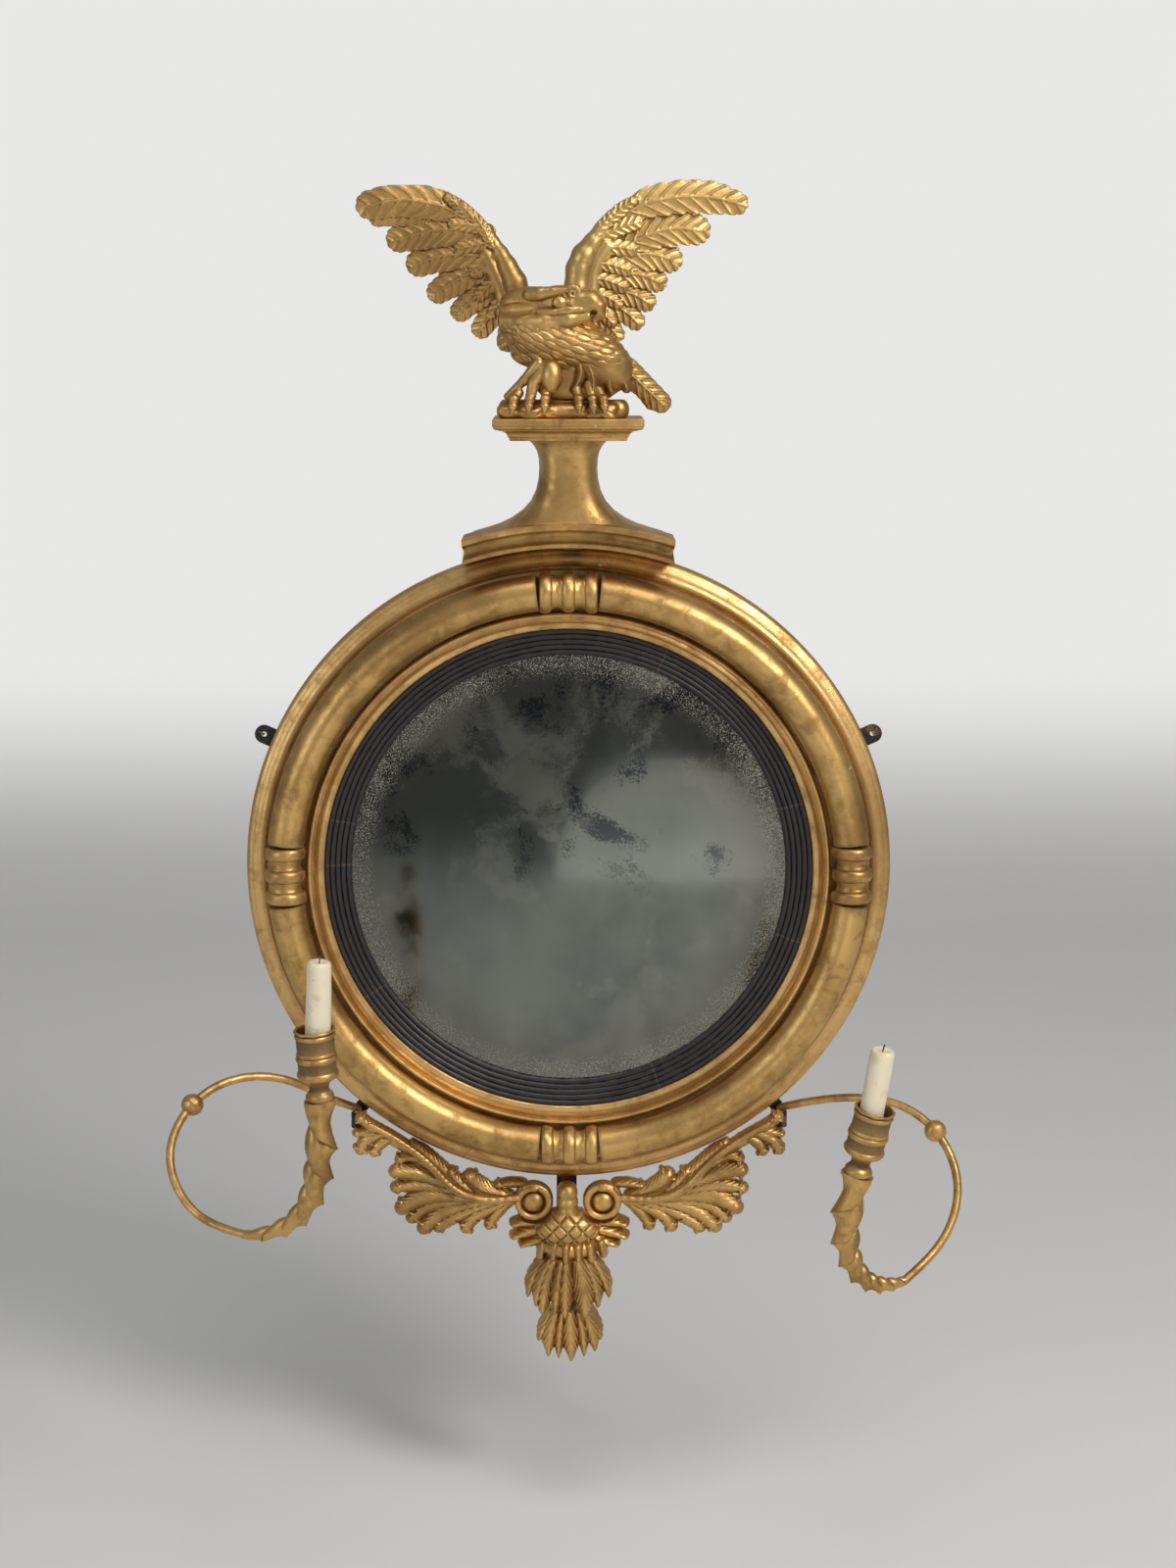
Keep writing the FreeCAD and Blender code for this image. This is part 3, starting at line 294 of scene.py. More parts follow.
def rod(x, d, z, a, b, ra, rb):
    """Tapered rod with round ends."""
    along = [b[i] - a[i] for i in range(3)]
    span = sum(v * v for v in along) or 1e-6
    px, pd, pz = x - a[0], d - a[1], z - a[2]
    t = np.clip((px * along[0] + pd * along[1] + pz * along[2]) / span, 0, 1)
    gap = np.sqrt((px - along[0] * t) ** 2 + (pd - along[1] * t) ** 2 + (pz - along[2] * t) ** 2)
    return gap - (ra + (rb - ra) * t)


def beside(x, z, spine):
    """Distance of places in the plane of the wall from a line of (x, z) points.

    Then how far along it they lie, on which side, and the length of the line.
    """
    flat = [(px, 0, pz) for px, pz in spine]
    flat = (spline(flat, 5) if len(spine) > 2 else np.array(flat, float))[:, (0, 2)]
    x, z = x[:, 0, :], z[:, 0, :]
    off = along = side = None
    run = 0.0
    last = len(flat) - 2
    for i, (a, b) in enumerate(zip(flat, flat[1:])):
        length = math.hypot(*(b - a))
        ux, uz = (b - a) / length
        px, pz = x - a[0], z - a[1]
        s = px * ux + pz * uz
        t = np.clip(s, 0, length)
        here = np.hypot(px - ux * t, pz - uz * t)
        reach = run + np.clip(s, 0 if i else -30, length + (30 if i == last else 0))
        turn = pz * ux - px * uz
        if off is None:
            off, along, side = here, reach, turn
        else:
            nearer = here < off
            off = np.where(nearer, here, off)
            along = np.where(nearer, reach, along)
            side = np.where(nearer, turn, side)
        run += length
    return off, along, side, run


def frond(x, d, z, spine, widths, plane, thick, crown=0.4, rib=0.9, barb=0.0, pitch=8.0, notch=0.0, tilt=0.0,
          rise=0.0,
          lean=1.0, curl=0.0, dish=0.0):
    """Feather, leaflet or leaf lobe along a line of (x, z) points, seen from the front, with a round end.

    widths are half widths spread evenly along it, plane the depth of its back at the root and rise how much
    further forward its end lies; tilt lifts one side. The front is crowned, dished along its middle, and
    carries a midrib and thin slanting barbs, which curl towards the end and notch the edge between them.
    """
    off, along, side, total = beside(x, z, spine)
    t = np.clip(along / total, 0, 1)
    away = np.abs(side)
    phase = (along - lean * away - curl * away ** 2) / pitch
    gap = np.abs(phase - np.floor(phase) - 0.5) * 2
    width = np.interp(t, np.linspace(0, 1, len(widths)), widths) * (1 - notch * gap ** 3)
    share = np.clip(off / width, 0, 1.2)
    front = thick * (1 - crown * share ** 2) - dish * (1 - share ** 2)
    if rib:
        front = front + rib * np.exp(-((side / 1.1) ** 2)) * np.clip((1.15 - along / total) * 4, 0, 1)
    if barb:
        front = front + barb * (np.exp(-((gap * pitch * 0.36 / 0.85) ** 2)) - 0.2) * np.clip(share * 5, 0, 1)
    level = plane + rise * t + tilt * np.clip(side, -width, width)
    edge, front, level = ((v[:, None, :]).astype(np.float32) for v in ((off - width) * 0.85, front, level))
    return np.maximum(np.maximum(edge, (d - level - front) * 0.8), level - d)


class Carving:
    """A block of space in which carved forms are joined and cut, then turned into a mesh.

    Values are distances in millimetres to the surface, negative inside. Places are
    (x, depth in front of the wall, z).
    """

    def __init__(self, low, high, step):
        self.low = np.array(low, float)
        self.step = step
        counts = np.ceil((np.array(high, float) - self.low) / step).astype(int) + 1
        axes = [(self.low[i] + step * np.arange(counts[i])).astype(np.float32) for i in range(3)]
        self.x = axes[0][:, None, None]
        self.d = axes[1][None, :, None]
        self.z = axes[2][None, None, :]
        self.value = np.full(counts, EMPTY, np.float32)

    def apply(self, shape, *args, around, blend=0.0, cut=False, **kw):
        """Joins a shape to the block, or cuts it out, within the corners of around."""
        first = np.clip(((np.array(around[0]) - self.low) / self.step).astype(int) - 1, 0, None)
        last = ((np.array(around[1]) - self.low) / self.step).astype(int) + 3
        i, j, k = where = tuple(slice(a, max(b, a + 1)) for a, b in zip(first, last))
        if self.value[where].size:
            made = shape(self.x[i], self.d[:, j], self.z[:, :, k], *args, **kw)
            old = self.value[where]
            self.value[where] = np.maximum(old, -made) if cut else join(old, made, blend)

    def ball(self, centre, radii, turn=0.0, blend=0.0, cut=False):
        wide = max(radii[0], radii[2])
        reach = np.array([wide, radii[1], wide] if turn else radii) + blend + 3
        self.apply(ball, centre, radii, turn, around=(centre - reach, centre + reach), blend=blend, cut=cut)

    def limb(self, points, radii, blend=0.0, cut=False):
        """Rods through (x, depth, z) points, one radius at each point."""
        for a, b, ra, rb in zip(points, points[1:], radii, radii[1:]):
            reach = max(ra, rb) + blend + 3
            self.apply(rod, a, b, ra, rb, around=(np.minimum(a, b) - reach, np.maximum(a, b) + reach),
                       blend=blend, cut=cut)

    def frond(self, spine, widths, plane, thick, blend=0.0, **kw):
        reach = max(widths) + 4
        low, high = np.min(spine, 0) - reach, np.max(spine, 0) + reach
        self.apply(frond, spine, widths, plane, thick, blend=blend,
                   around=((low[0], plane - 14, low[1]), (high[0], plane + thick + 18, high[1])), **kw)

    def limit(self, shape):
        """Keeps only what lies inside another shape too."""
        self.value = np.maximum(self.value, shape.astype(np.float32))

    def box(self, low, high):
        """Nothing stays outside this box."""
        for i, axis in enumerate((self.x, self.d, self.z)):
            self.limit(np.maximum(low[i] - axis, axis - high[i]))

    def surface(self):
        """Points and quads of the surface: one point in each cell that it passes through."""
        v = np.pad(self.value, 1, constant_values=EMPTY)
        inside = v < 0
        cells = [n - 1 for n in v.shape]
        total = np.zeros(cells + [3], np.float32)
        count = np.zeros(cells, np.float32)

        def corner(o):
            return v[o[0]:o[0] + cells[0], o[1]:o[1] + cells[1], o[2]:o[2] + cells[2]]

        for a in [(i, j, k) for i in (0, 1) for j in (0, 1) for k in (0, 1)]:
            for axis in range(3):
                if a[axis]:
                    continue
                b = list(a)
                b[axis] = 1
                va, vb = corner(a), corner(b)
                crossing = (va < 0) != (vb < 0)
                t = np.where(crossing, va / np.where(crossing, va - vb, 1), 0)
                for m in range(3):
                    total[..., m] += np.where(crossing, a[m] + (t if m == axis else 0), 0)
                count += crossing
        active = count > 0
        index = np.full(cells, -1, np.int64)
        index[active] = np.arange(active.sum())
        points = self.low + self.step * (np.argwhere(active) - 1 + total[active] / count[active][:, None])
        quads = []
        for axis in range(3):
            others = [m for m in range(3) if m != axis]
            near = [slice(1, n) for n in cells]
            near[axis] = slice(0, cells[axis])
            far = list(near)
            far[axis] = slice(1, cells[axis] + 1)
            first = inside[tuple(near)]
            changes = first != inside[tuple(far)]
            places = np.argwhere(changes) + np.array([s.start for s in near])
            ring = []
            for da, db in ((0, 0), (1, 0), (1, 1), (0, 1)):
                c = places.copy()
                c[:, others[0]] -= da
                c[:, others[1]] -= db
                ring.append(index[c[:, 0], c[:, 1], c[:, 2]])
            quad = np.stack(ring, 1)
            flip = first[changes]
            if axis == 1:
                flip = ~flip
            quad[flip] = quad[flip][:, ::-1]
            quads.append(quad)
        quads = np.vstack(quads)
        return np.stack([points[:, 0], -points[:, 1], points[:, 2]], 1), quads.tolist()


def carved(name, block, material):
    points, quads = block.surface()
    return mesh_object(name, points, quads, material, sharp=180)


# ---------------------------------------------------------------- Geometry Nodes trees

FLOAT, WHOLE, COLOUR, VECTOR = (
    "NodeSocketFloat", "NodeSocketInt", "NodeSocketColor", "NodeSocketVector",
)


def node(tree, kind, inputs=None, **settings):
    """A node with its settings and its sockets, each set to a value or linked to an output."""
    new = tree.nodes.new(kind)
    for name, value in settings.items():
        setattr(new, name, value)
    for name, value in (inputs or {}).items():
        if isinstance(value, bpy.types.NodeSocket):
            tree.links.new(value, new.inputs[name])
        else:
            new.inputs[name].default_value = value
    return new


def geometry_tree(name, inputs):
    """Tree with a geometry in and out; inputs are (name, socket type, default)."""
    tree = bpy.data.node_groups.new(name, "GeometryNodeTree")
    tree.interface.new_socket("Geometry", in_out="INPUT", socket_type="NodeSocketGeometry")
    for label, kind, default in inputs:
        socket = tree.interface.new_socket(label, in_out="INPUT", socket_type=kind)
        if default is not None:
            socket.default_value = default
    tree.interface.new_socket("Material", in_out="INPUT", socket_type="NodeSocketMaterial")
    tree.interface.new_socket("Geometry", in_out="OUTPUT", socket_type="NodeSocketGeometry")
    return tree, node(tree, "NodeGroupInput").outputs


def close_tree(tree, geometry, given):
    real = node(tree, "GeometryNodeRealizeInstances", {"Geometry": geometry})
    dressed = node(tree, "GeometryNodeSetMaterial", {"Geometry": real.outputs[0],
                                                     "Material": given["Material"]})
    node(tree, "NodeGroupOutput", {"Geometry": dressed.outputs[0]})
    return tree


def moulding_tree():
    """A closed profile, drawn as (distance beyond the radius, depth), carried round the wall axis."""
    tree, given = geometry_tree("moulding_round_the_wall_axis", [
        ("Radius", FLOAT, 0.2), ("Segments", WHOLE, 360),
    ])
    circle = node(tree, "GeometryNodeCurvePrimitiveCircle", {
        "Resolution": given["Segments"], "Radius": given["Radius"],
    })
    profile = node(tree, "GeometryNodeMeshToCurve", {"Mesh": given["Geometry"]})
    carried = node(tree, "GeometryNodeCurveToMesh", {
        "Curve": circle.outputs["Curve"], "Profile Curve": profile.outputs["Curve"],
    })
    upright = node(tree, "GeometryNodeTransform", {
        "Geometry": carried.outputs[0], "Rotation": (-math.pi / 2, 0, 0),
    })
    return close_tree(tree, upright.outputs[0], given)


def copies_tree():
    """The piece repeated evenly round the wall axis."""
    tree, given = geometry_tree("copies_round_the_wall_axis", [
        ("Count", WHOLE, 4), ("First Angle", FLOAT, 0.0),
    ])
    points = node(tree, "GeometryNodePoints", {"Count": given["Count"]})
    index = node(tree, "GeometryNodeInputIndex")
    step = node(tree, "ShaderNodeMath", {0: 2 * math.pi, 1: given["Count"]}, operation="DIVIDE")
    turn = node(tree, "ShaderNodeMath", {
        0: index.outputs[0], 1: step.outputs[0], 2: given["First Angle"],
    }, operation="MULTIPLY_ADD")
    about = node(tree, "ShaderNodeCombineXYZ", {"Y": turn.outputs[0]})
    placed = node(tree, "GeometryNodeInstanceOnPoints", {
        "Points": points.outputs[0], "Instance": given["Geometry"], "Rotation": about.outputs[0],
    })
    return close_tree(tree, placed.outputs[0], given)


def wire_tree():
    """A round wire along the line of the given edges, with a little unevenness in its thickness."""
    tree, given = geometry_tree("wire_along_a_line", [
        ("Radius", FLOAT, 0.004), ("Sides", WHOLE, 24), ("Unevenness", FLOAT, 0.03),
    ])
    line = node(tree, "GeometryNodeMeshToCurve", {"Mesh": given["Geometry"]})
    bumps = node(tree, "ShaderNodeTexNoise", {"Scale": 60.0})
    low = node(tree, "ShaderNodeMath", {0: 1.0, 1: given["Unevenness"]}, operation="SUBTRACT")
    share = node(tree, "ShaderNodeMapRange", {
        "Value": bumps.outputs[0], "From Min": 0.3, "From Max": 0.7, "To Min": low.outputs[0], "To Max": 1.0,
    })
    thick = node(tree, "GeometryNodeSetCurveRadius", {"Curve": line.outputs[0], "Radius": share.outputs[0]})
    section = node(tree, "GeometryNodeCurvePrimitiveCircle", {
        "Resolution": given["Sides"], "Radius": given["Radius"],
    })
    wire = node(tree, "GeometryNodeCurveToMesh", {
        "Curve": thick.outputs[0], "Profile Curve": section.outputs[0], "Fill Caps": True,
        "Scale": share.outputs[0],
    })
    smooth = node(tree, "GeometryNodeSetShadeSmooth", {"Geometry": wire.outputs[0]})
    return close_tree(tree, smooth.outputs[0], given)


def screws_tree():
    """Countersunk screw heads on the given points, each turned by chance, its slot seen from the back."""
    tree, given = geometry_tree("screw_heads_on_points", [
        ("Head Radius", FLOAT, 0.0035), ("Seed", WHOLE, 3),
    ])
    head = node(tree, "GeometryNodeMeshCylinder", {
        "Vertices": 24, "Radius": given["Head Radius"], "Depth": 0.0012,
    })
    slot_size = node(tree, "ShaderNodeMath", {0: given["Head Radius"], 1: 1.7}, operation="MULTIPLY")
    slot_box = node(tree, "ShaderNodeCombineXYZ", {"X": slot_size.outputs[0], "Y": 0.0009, "Z": 0.0008})
    slot = node(tree, "GeometryNodeMeshCube", {"Size": slot_box.outputs[0]})
    raised = node(tree, "GeometryNodeTransform", {"Geometry": slot.outputs[0], "Translation": (0, 0, 0.0006)})
    cut = node(tree, "GeometryNodeMeshBoolean", {"Mesh 1": head.outputs[0], "Mesh 2": raised.outputs[0]})
    upright = node(tree, "GeometryNodeTransform", {"Geometry": cut.outputs[0],
                                                   "Rotation": (math.pi / 2, 0, 0)})
    turn = node(tree, "FunctionNodeRandomValue", {"Seed": given["Seed"]}, data_type="FLOAT_VECTOR")
    turn.inputs[0].default_value = (0, 0, 0)
    turn.inputs[1].default_value = (0, math.pi, 0)
    placed = node(tree, "GeometryNodeInstanceOnPoints", {
        "Points": given["Geometry"], "Instance": upright.outputs[0], "Rotation": turn.outputs[0],
    })
    return close_tree(tree, placed.outputs[0], given)


TREE_MAKERS = {"moulding": moulding_tree, "copies": copies_tree, "wire": wire_tree, "screws": screws_tree}
TREES = {}


def grown(name, start, tree_name, material, sharp=35.0, **inputs):
    """Plain mesh that a tree makes from a start mesh; inputs go by their names, an underscore for a space."""
    if tree_name not in TREES:
        TREES[tree_name] = TREE_MAKERS[tree_name]()
    tree = TREES[tree_name]
    obj = new_object(name, start)
    modifier = obj.modifiers.new("shape", "NODES")
    modifier.node_group = tree
    sockets = {item.name: item.identifier for item in tree.interface.items_tree if item.in_out == "INPUT"}
    for label, value in inputs.items():
        modifier[sockets[label.replace("_", " ")]] = value
    modifier[sockets["Material"]] = material
    view_layer = bpy.context.evaluated_depsgraph_get()
    made = bpy.data.meshes.new_from_object(obj.evaluated_get(view_layer), depsgraph=view_layer)
    obj.modifiers.remove(modifier)
    obj.data = made
    made.name = name
    made.shade_smooth()
    if sharp < 180:
        made.set_sharp_from_angle(angle=math.radians(sharp))
    made.materials.clear()
    made.materials.append(material)
    return obj


def loose_mesh(name, verts, edges=(), faces=()):
    mesh = bpy.data.meshes.new(name)
    mesh.from_pydata((np.asarray(verts, float) * MM).tolist(), list(edges), [tuple(f) for f in faces])
    mesh.update()
    return mesh


def line_mesh(name, path, closed=False):
    edges = [(i, i + 1) for i in range(len(path) - 1)]
    if closed:
        edges.append((len(path) - 1, 0))
    return loose_mesh(name, path, edges)


def moulding(name, profile, material, sharp=35.0, radius=220.0, segments=360):
    """Full ring from closed (radius, depth) points."""
    flat = [(r - radius, d, 0) for r, d in profile]
    return grown(name, line_mesh(name, flat, closed=True), "moulding", material, sharp,
                 Radius=radius * MM, Segments=segments)


# ---------------------------------------------------------------- shader groups

def shader_group(name, inputs, outputs):
    tree = bpy.data.node_groups.new(name, "ShaderNodeTree")
    for label, kind, default in inputs:
        socket = tree.interface.new_socket(label, in_out="INPUT", socket_type=kind)
        socket.default_value = default
    for label, kind in outputs:
        tree.interface.new_socket(label, in_out="OUTPUT", socket_type=kind)
    return tree, node(tree, "NodeGroupInput").outputs


def object_place(tree):
    return node(tree, "ShaderNodeTexCoord").outputs["Object"]


def noise(tree, place, scale, detail=4.0, roughness=0.55, distortion=0.0):
    return node(tree, "ShaderNodeTexNoise", {
        "Vector": place, "Scale": scale, "Detail": detail, "Roughness": roughness, "Distortion": distortion,
    }).outputs[0]


def spread(tree, value, low, high, to_low=0.0, to_high=1.0):
    """Value between low and high, spread smoothly over another range."""
    return node(tree, "ShaderNodeMapRange", {
        "Value": value, "From Min": low, "From Max": high, "To Min": to_low, "To Max": to_high,
    }, interpolation_type="SMOOTHSTEP").outputs[0]


def maths(tree, operation, *values):
    made = node(tree, "ShaderNodeMath", dict(enumerate(values)), operation=operation)
    made.use_clamp = operation in ("MULTIPLY", "ADD", "SUBTRACT")
    return made.outputs[0]


def blend_colours(tree, share, a, b):
    made = node(tree, "ShaderNodeMix", {"Factor": share}, data_type="RGBA")
    for index, value in ((6, a), (7, b)):
        if isinstance(value, bpy.types.NodeSocket):
            tree.links.new(value, made.inputs[index])
        else:
            made.inputs[index].default_value = value
    return made.outputs[2]


def grime_and_shade_group():
    """Hollows darkened by soiling and painted shade, rubbed edges and dust on what faces up."""
    tree, given = shader_group("grime_and_shade", [
        ("Scale", FLOAT, 40.0), ("Reach", FLOAT, 0.05),
    ], [("Hollow", FLOAT), ("Edge", FLOAT), ("Dust", FLOAT)])
    place = object_place(tree)
    geometry = node(tree, "ShaderNodeNewGeometry")
    point = geometry.outputs["Pointiness"]
    below = maths(tree, "SUBTRACT", 0.5, given["Reach"])
    above = node(tree, "ShaderNodeMath", {0: 0.5, 1: given["Reach"]}, operation="ADD").outputs[0]
    # painted shade: concave places found by pointiness, partly soiling and partly the shade that falls in
    # recesses and creases
    hollow = spread(tree, point, 0.497, below, 0.0, 1.0)
    edge = spread(tree, point, 0.505, above, 0.0, 1.0)
    uneven = spread(tree, noise(tree, place, given["Scale"]), 0.38, 0.62)
    up = node(tree, "ShaderNodeSeparateXYZ", {0: geometry.outputs["Normal"]}).outputs["Z"]
    dust = maths(tree, "MULTIPLY", spread(tree, up, 0.35, 0.95), uneven)
    node(tree, "NodeGroupOutput", {"Hollow": hollow, "Edge": maths(tree, "MULTIPLY", edge, uneven),
                                   "Dust": dust})
    return tree


def blots_group():
    """Ragged blots: large patches broken up by fine specks."""
    tree, given = shader_group("blots", [
        ("Scale", FLOAT, 12.0), ("Fine Scale", FLOAT, 400.0),
        ("Amount", FLOAT, 0.5), ("Shift", VECTOR, (0, 0, 0)),
    ], [("Mask", FLOAT), ("Fine", FLOAT)])
    place = object_place(tree)
    moved = node(tree, "ShaderNodeVectorMath", {0: place, 1: given["Shift"]}).outputs[0]
    large = noise(tree, moved, given["Scale"], 5.0, 0.6, 0.4)
    fine = noise(tree, moved, given["Fine Scale"], 3.0, 0.7)
    both = maths(tree, "MULTIPLY_ADD", fine, 0.35, large)
    level = node(tree, "ShaderNodeMapRange", {
        "Value": given["Amount"], "From Min": 0.0, "From Max": 1.0, "To Min": 0.95, "To Max": 0.45,
    }).outputs[0]
    above = node(tree, "ShaderNodeMath", {0: level, 1: 0.07}, operation="ADD").outputs[0]
    node(tree, "NodeGroupOutput", {"Mask": spread(tree, both, level, above), "Fine": fine})
    return tree


def gilding_group():
    """Water gilding over bole: rubbed through, toned down in patches and chipped to the gesso."""
    tree, given = shader_group("old_gilding", [
        ("Gold", COLOUR, (0.7, 0.45, 0.16, 1)), ("Toned", COLOUR, (0.42, 0.25, 0.09, 1)),
        ("Bole", COLOUR, (0.3, 0.1, 0.04, 1)), ("Gesso", COLOUR, (0.78, 0.72, 0.62, 1)),
        ("Tone", FLOAT, 0.5), ("Rub", FLOAT, 0.4), ("Chips", FLOAT, 0.2),
        ("Dirt", FLOAT, 0.7), ("Reach", FLOAT, 0.06), ("Scale", FLOAT, 1.0),
    ], [
        ("Color", COLOUR), ("Metallic", FLOAT),
        ("Roughness", FLOAT), ("Height", FLOAT),
    ])
    place = object_place(tree)
    scaled = node(tree, "ShaderNodeVectorMath", {0: place, "Scale": given["Scale"]},
                  operation="SCALE").outputs[0]
    wide = noise(tree, scaled, 11.0, 5.0, 0.6)
    middle = noise(tree, scaled, 60.0, 5.0, 0.62, 0.6)
    fine = noise(tree, scaled, 420.0, 3.0, 0.6)
    grime_and_shade = group(tree, "grime_and_shade", Scale=55.0, Reach=given["Reach"])
    tone = spread(tree, maths(tree, "MULTIPLY_ADD", middle, 0.5, wide), 0.62, 0.92)
    colour = blend_colours(tree, maths(tree, "MULTIPLY", tone, given["Tone"]), given["Gold"], given["Toned"])
    scuff = spread(tree, maths(tree, "MULTIPLY_ADD", fine, 0.3, middle), 0.70, 0.80)
    worn = maths(tree, "ADD", maths(tree, "MULTIPLY", scuff, 0.45),
                 maths(tree, "MULTIPLY", grime_and_shade["Edge"], 0.8))
    rub = maths(tree, "MULTIPLY", worn, given["Rub"])
    colour = blend_colours(tree, rub, colour, given["Bole"])
    # painted shade: the hollows turn dark brown and lose their metal, partly soiling and partly the shade in
    # the recesses of the carving
    hollow = maths(tree, "MULTIPLY", grime_and_shade["Hollow"], given["Dirt"])
    colour = blend_colours(tree, hollow, colour, (0.045, 0.024, 0.010, 1))
    chipped = group(tree, "blots", Scale=23.0, Fine_Scale=160.0, Amount=given["Chips"], Shift=(3.1, 1.7, 0.4))
    chips = chipped["Mask"]
    colour = blend_colours(tree, chips, colour, given["Gesso"])
    dull = maths(tree, "ADD", chips, maths(tree, "MULTIPLY", rub, 0.75))
    dull = maths(tree, "ADD", dull, maths(tree, "MULTIPLY", hollow, 0.8))
    metal = node(tree, "ShaderNodeMath", {0: 1.0, 1: dull}, operation="SUBTRACT", use_clamp=True).outputs[0]
    rough = node(tree, "ShaderNodeMapRange", {"Value": middle, "From Min": 0.3, "From Max": 0.7,
                                              "To Min": 0.33, "To Max": 0.52}).outputs[0]
    rough = maths(tree, "MULTIPLY_ADD", dull, 0.35, rough)
    height = maths(tree, "MULTIPLY_ADD", chips, -0.6, fine)
    height = maths(tree, "MULTIPLY_ADD", middle, 1.4, height)
    node(tree, "NodeGroupOutput", {"Color": colour, "Metallic": metal, "Roughness": rough, "Height": height})
    return tree


def grain_group():
    """Long grain of wood, running up and down."""
    tree, given = shader_group("wood_grain", [
        ("Scale", FLOAT, 1.0), ("Shift", VECTOR, (0, 0, 0)),
    ], [("Bands", FLOAT), ("Pores", FLOAT)])
    place = object_place(tree)
    moved = node(tree, "ShaderNodeVectorMath", {0: place, 1: given["Shift"]}).outputs[0]
    long = node(tree, "ShaderNodeMapping", {"Vector": moved, "Scale": (1.0, 1.0, 0.09)}).outputs[0]
    sized = node(tree, "ShaderNodeVectorMath", {0: long, "Scale": given["Scale"]},
                 operation="SCALE").outputs[0]
    warp = noise(tree, sized, 9.0, 3.0, 0.5)
    bands = node(tree, "ShaderNodeTexWave", {
        "Vector": sized, "Scale": 16.0, "Distortion": 7.0, "Detail": 3.0, "Detail Scale": 1.4,
    }, bands_direction="X").outputs["Fac"]
    bands = maths(tree, "MULTIPLY_ADD", warp, 0.6, bands)
    pores = noise(tree, sized, 520.0, 3.0, 0.7)
    node(tree, "NodeGroupOutput", {"Bands": spread(tree, bands, 0.2, 1.3), "Pores": pores})
    return tree


GROUP_MAKERS = {"grime_and_shade": grime_and_shade_group, "blots": blots_group, "gilding": gilding_group, "grain": grain_group}
GROUPS = {}


def group(tree, name, **inputs):
    """The named group placed in a tree; returns its outputs."""
    if name not in GROUPS:
        GROUPS[name] = GROUP_MAKERS[name]()
    placed = tree.nodes.new("ShaderNodeGroup")
    placed.node_tree = GROUPS[name]
    for label, value in inputs.items():
        socket = placed.inputs[label.replace("_", " ")]
        if isinstance(value, bpy.types.NodeSocket):
            tree.links.new(value, socket)
        else:
            socket.default_value = value
    return placed.outputs


# ---------------------------------------------------------------- finishes

def material_of(name):
    material = bpy.data.materials.new(name)
    material.use_nodes = True
    tree = material.node_tree
    return material, tree, tree.nodes["Principled BSDF"]


def feed(tree, shader, **sockets):
    for label, value in sockets.items():
        socket = shader.inputs[label.replace("_", " ")]
        if isinstance(value, bpy.types.NodeSocket):
            tree.links.new(value, socket)
        else:
            socket.default_value = value


def bumped(tree, height, strength, distance):
    return node(tree, "ShaderNodeBump", {"Height": height, "Strength": strength,
                                         "Distance": distance}).outputs[0]


def gilt(name, gold, toned, tone, rub, chips, dirt_and_shade, reach=0.06, scale=1.0):
    """Old gilding; gold and toned are names of colour settings."""
    material, tree, shader = material_of(name)
    # the value after chips darkens the hollows: partly soiling, partly painted shade
    made = group(tree, "gilding", Gold=shade_of(gold), Toned=shade_of(toned), Bole=shade_of("bole"),
                 Tone=tone, Rub=rub, Chips=chips, Dirt=dirt_and_shade, Reach=reach, Scale=scale)
    feed(tree, shader, Base_Color=made["Color"], Metallic=made["Metallic"], Roughness=made["Roughness"],
         Normal=bumped(tree, made["Height"], 0.25, 0.0006))
    return material


def black_reeds(name):
    material, tree, shader = material_of(name)
    grime_and_shade = group(tree, "grime_and_shade", Scale=90.0, Reach=0.04)
    grain = group(tree, "grain", Scale=2.0)
    cracks = radial_cracks(tree)
    colour = blend_colours(tree, maths(tree, "MULTIPLY", grime_and_shade["Edge"], 0.8), (0.012, 0.011, 0.011, 1),
                           (0.075, 0.045, 0.032, 1))
    colour = blend_colours(tree, maths(tree, "MULTIPLY", grime_and_shade["Dust"], 0.25), colour, (0.16, 0.14, 0.12, 1))
    colour = blend_colours(tree, cracks, colour, (0.10, 0.055, 0.035, 1))
    rough = spread(tree, grain["Pores"], 0.3, 0.7, 0.30, 0.48)
    height = maths(tree, "MULTIPLY_ADD", cracks, -3.0, grain["Pores"])
    feed(tree, shader, Base_Color=colour, Roughness=rough, Normal=bumped(tree, height, 0.3, 0.0004))
    return material


# where the cracks lie round the wall axis, in degrees from the top
CRACK_ANGLES = (-88.0, -77.0, 74.0, 108.0, -122.0, 24.0, 158.0)


def radial_cracks(tree):
    """Thin cracks across the reeds, at uneven angles round the wall axis."""
    place = object_place(tree)
    parts = node(tree, "ShaderNodeSeparateXYZ", {0: place}).outputs
    angle = maths(tree, "ARCTAN2", parts["X"], parts["Z"])
    wander = noise(tree, place, 220.0, 2.0)
    angle = maths(tree, "MULTIPLY_ADD", wander, 0.014, angle)
    mask = None
    for degrees_round in CRACK_ANGLES:
        gap = node(tree, "ShaderNodeMath", {0: angle, 1: math.radians(degrees_round)},
                   operation="SUBTRACT").outputs[0]
        line = spread(tree, maths(tree, "ABSOLUTE", gap), 0.0035, 0.0010)
        mask = line if mask is None else maths(tree, "MAXIMUM", mask, line)
    return mask


